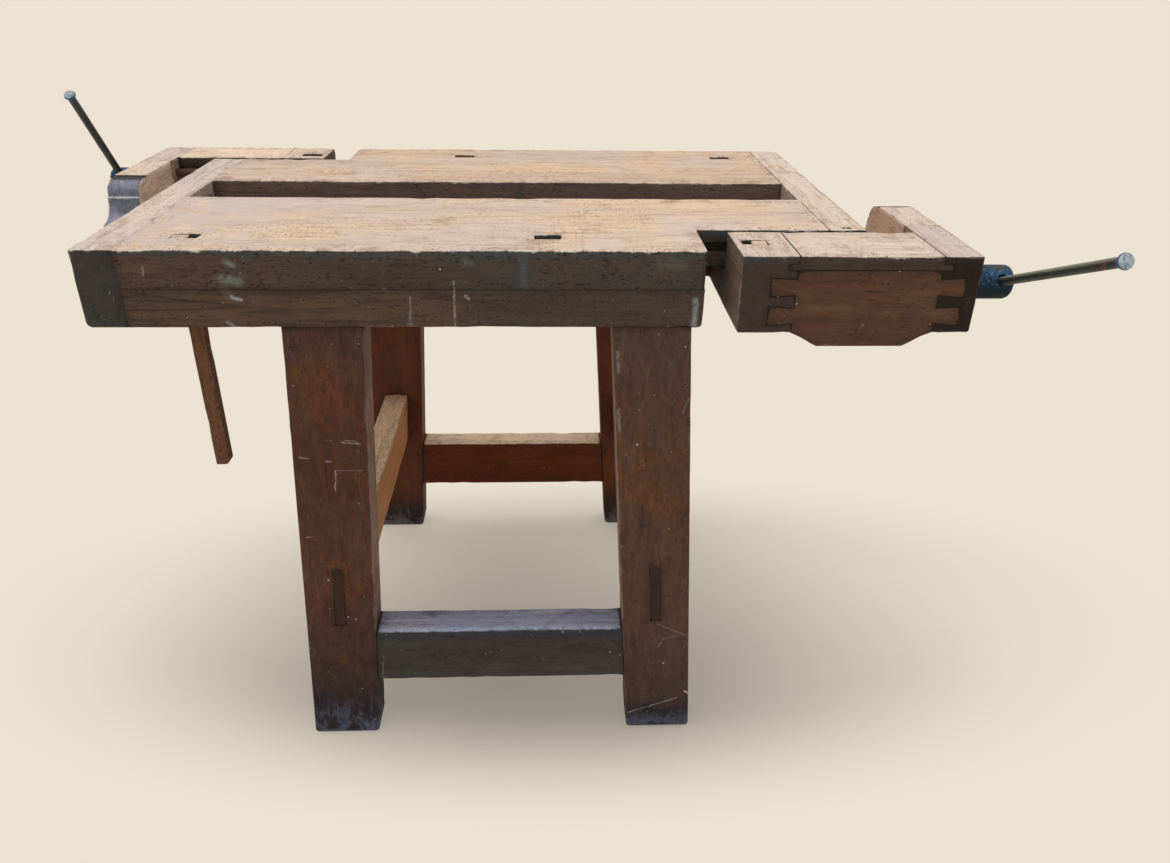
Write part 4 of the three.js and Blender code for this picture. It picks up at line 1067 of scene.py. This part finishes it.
def paintedFinish(name, look):  # chipped paint over iron
    finish = Finish(name)
    place = finish.place()
    broad = finish.cloud(place, look["broad"], 3.0, 0.6)
    fine = finish.cloud(place, look["fine"], 4.0, 0.7)
    upward = finish.part(finish.place("Normal"), "Z")
    # painted shade and highlight: the paint is dark teal on faces that look down and lighter blue on faces
    # that look up
    paint = finish.mix(finish.fade(upward + (broad - 0.5), 0.35, -0.45), look["paint"], look["under"])
    paint = finish.mix(finish.fade(upward + (fine - 0.5) * 0.6, 0.3, 0.8) * 0.8, paint, look["upper"])
    flecks = finish.fade(finish.cloud(place, look["flecks"], 3.0, 0.7), 0.56, 0.64)
    flecks = flecks * finish.fade(upward, -0.2, 0.6)
    paint = finish.mix(flecks * 0.6, paint, look["fleckTint"])
    chips = finish.fade(fine * 0.62 + broad * 0.38, 0.545, 0.575)
    colour = finish.mix(chips, paint, finish.mix(finish.fade(broad, 0.5, 0.6), *look["chipTints"]))
    return finish.close(colour, 0.5 + fine * 0.2 + chips * 0.2, fine * 0.3 - chips, look["relief"], 0.0, 0.15)


plainIron = {"dustAndSheen": 0.0, "dustAndSheenTint": tint(184, 180, 154), "patina": 0.0, "patinaTint": tint(84, 106, 118),
             "rough": 0.4, "shine": 0.75}
irons = {
    "barSteel": {**plainIron, "metal": [tint(58, 64, 62), tint(42, 48, 50)], "dustAndSheen": 0.45, "patina": 0.6,
                 "rust": 0.55, "endPaint": tint(44, 92, 134), "shine": 0.4},
    "screwSteel": {**plainIron, "metal": [tint(112, 110, 106), tint(84, 82, 80)], "rust": 0.3, "rough": 0.3},
    "castIron": {**plainIron, "metal": [tint(66, 64, 64), tint(50, 48, 48)], "rust": 0.5, "rough": 0.5},
}
metals = {name: ironFinish(name, look) for name, look in irons.items()}
metals["hubPaint"] = paintedFinish("hubPaint", hubBlue)

for side in ("front", "rear"):
    vise = side + "_vise_"
    dress(tommyBar(vise + "tommy_bar"), vise + "tommy_bar", metals["barSteel"])
    dress(screwHub(side), vise + "hub", metals["hubPaint"])
    dress(viseScrew(side), vise + "screw", metals["screwSteel"])

smallIron = {"ease": 0.0006, "segments": 2, "sharpFrom": 35, "finishes": {
    "washer": "castIron", "collar": "castIron", "nut": "castIron", "cap_bolt": "castIron",
    "hub_pin": "screwSteel", "collar_pin": "screwSteel"}}
for name, node in nodes.items():  # the small ironwork keeps its own shape, with its edges eased
    kinds = [k for k in smallIron["finishes"] if k in name and not node.hide_render]
    if kinds:
        node.data.materials.clear()
        node.data.materials.append(metals[smallIron["finishes"][kinds[-1]]])
        eased = node.modifiers.new("ease", "BEVEL")
        eased.width = smallIron["ease"]
        eased.segments = smallIron["segments"]
        eased.limit_method = "ANGLE"
        eased.angle_limit = math.radians(smallIron["sharpFrom"])
print("ironwork ready; plain CAD nodes left:", [n for n, o in nodes.items() if not o.hide_render])
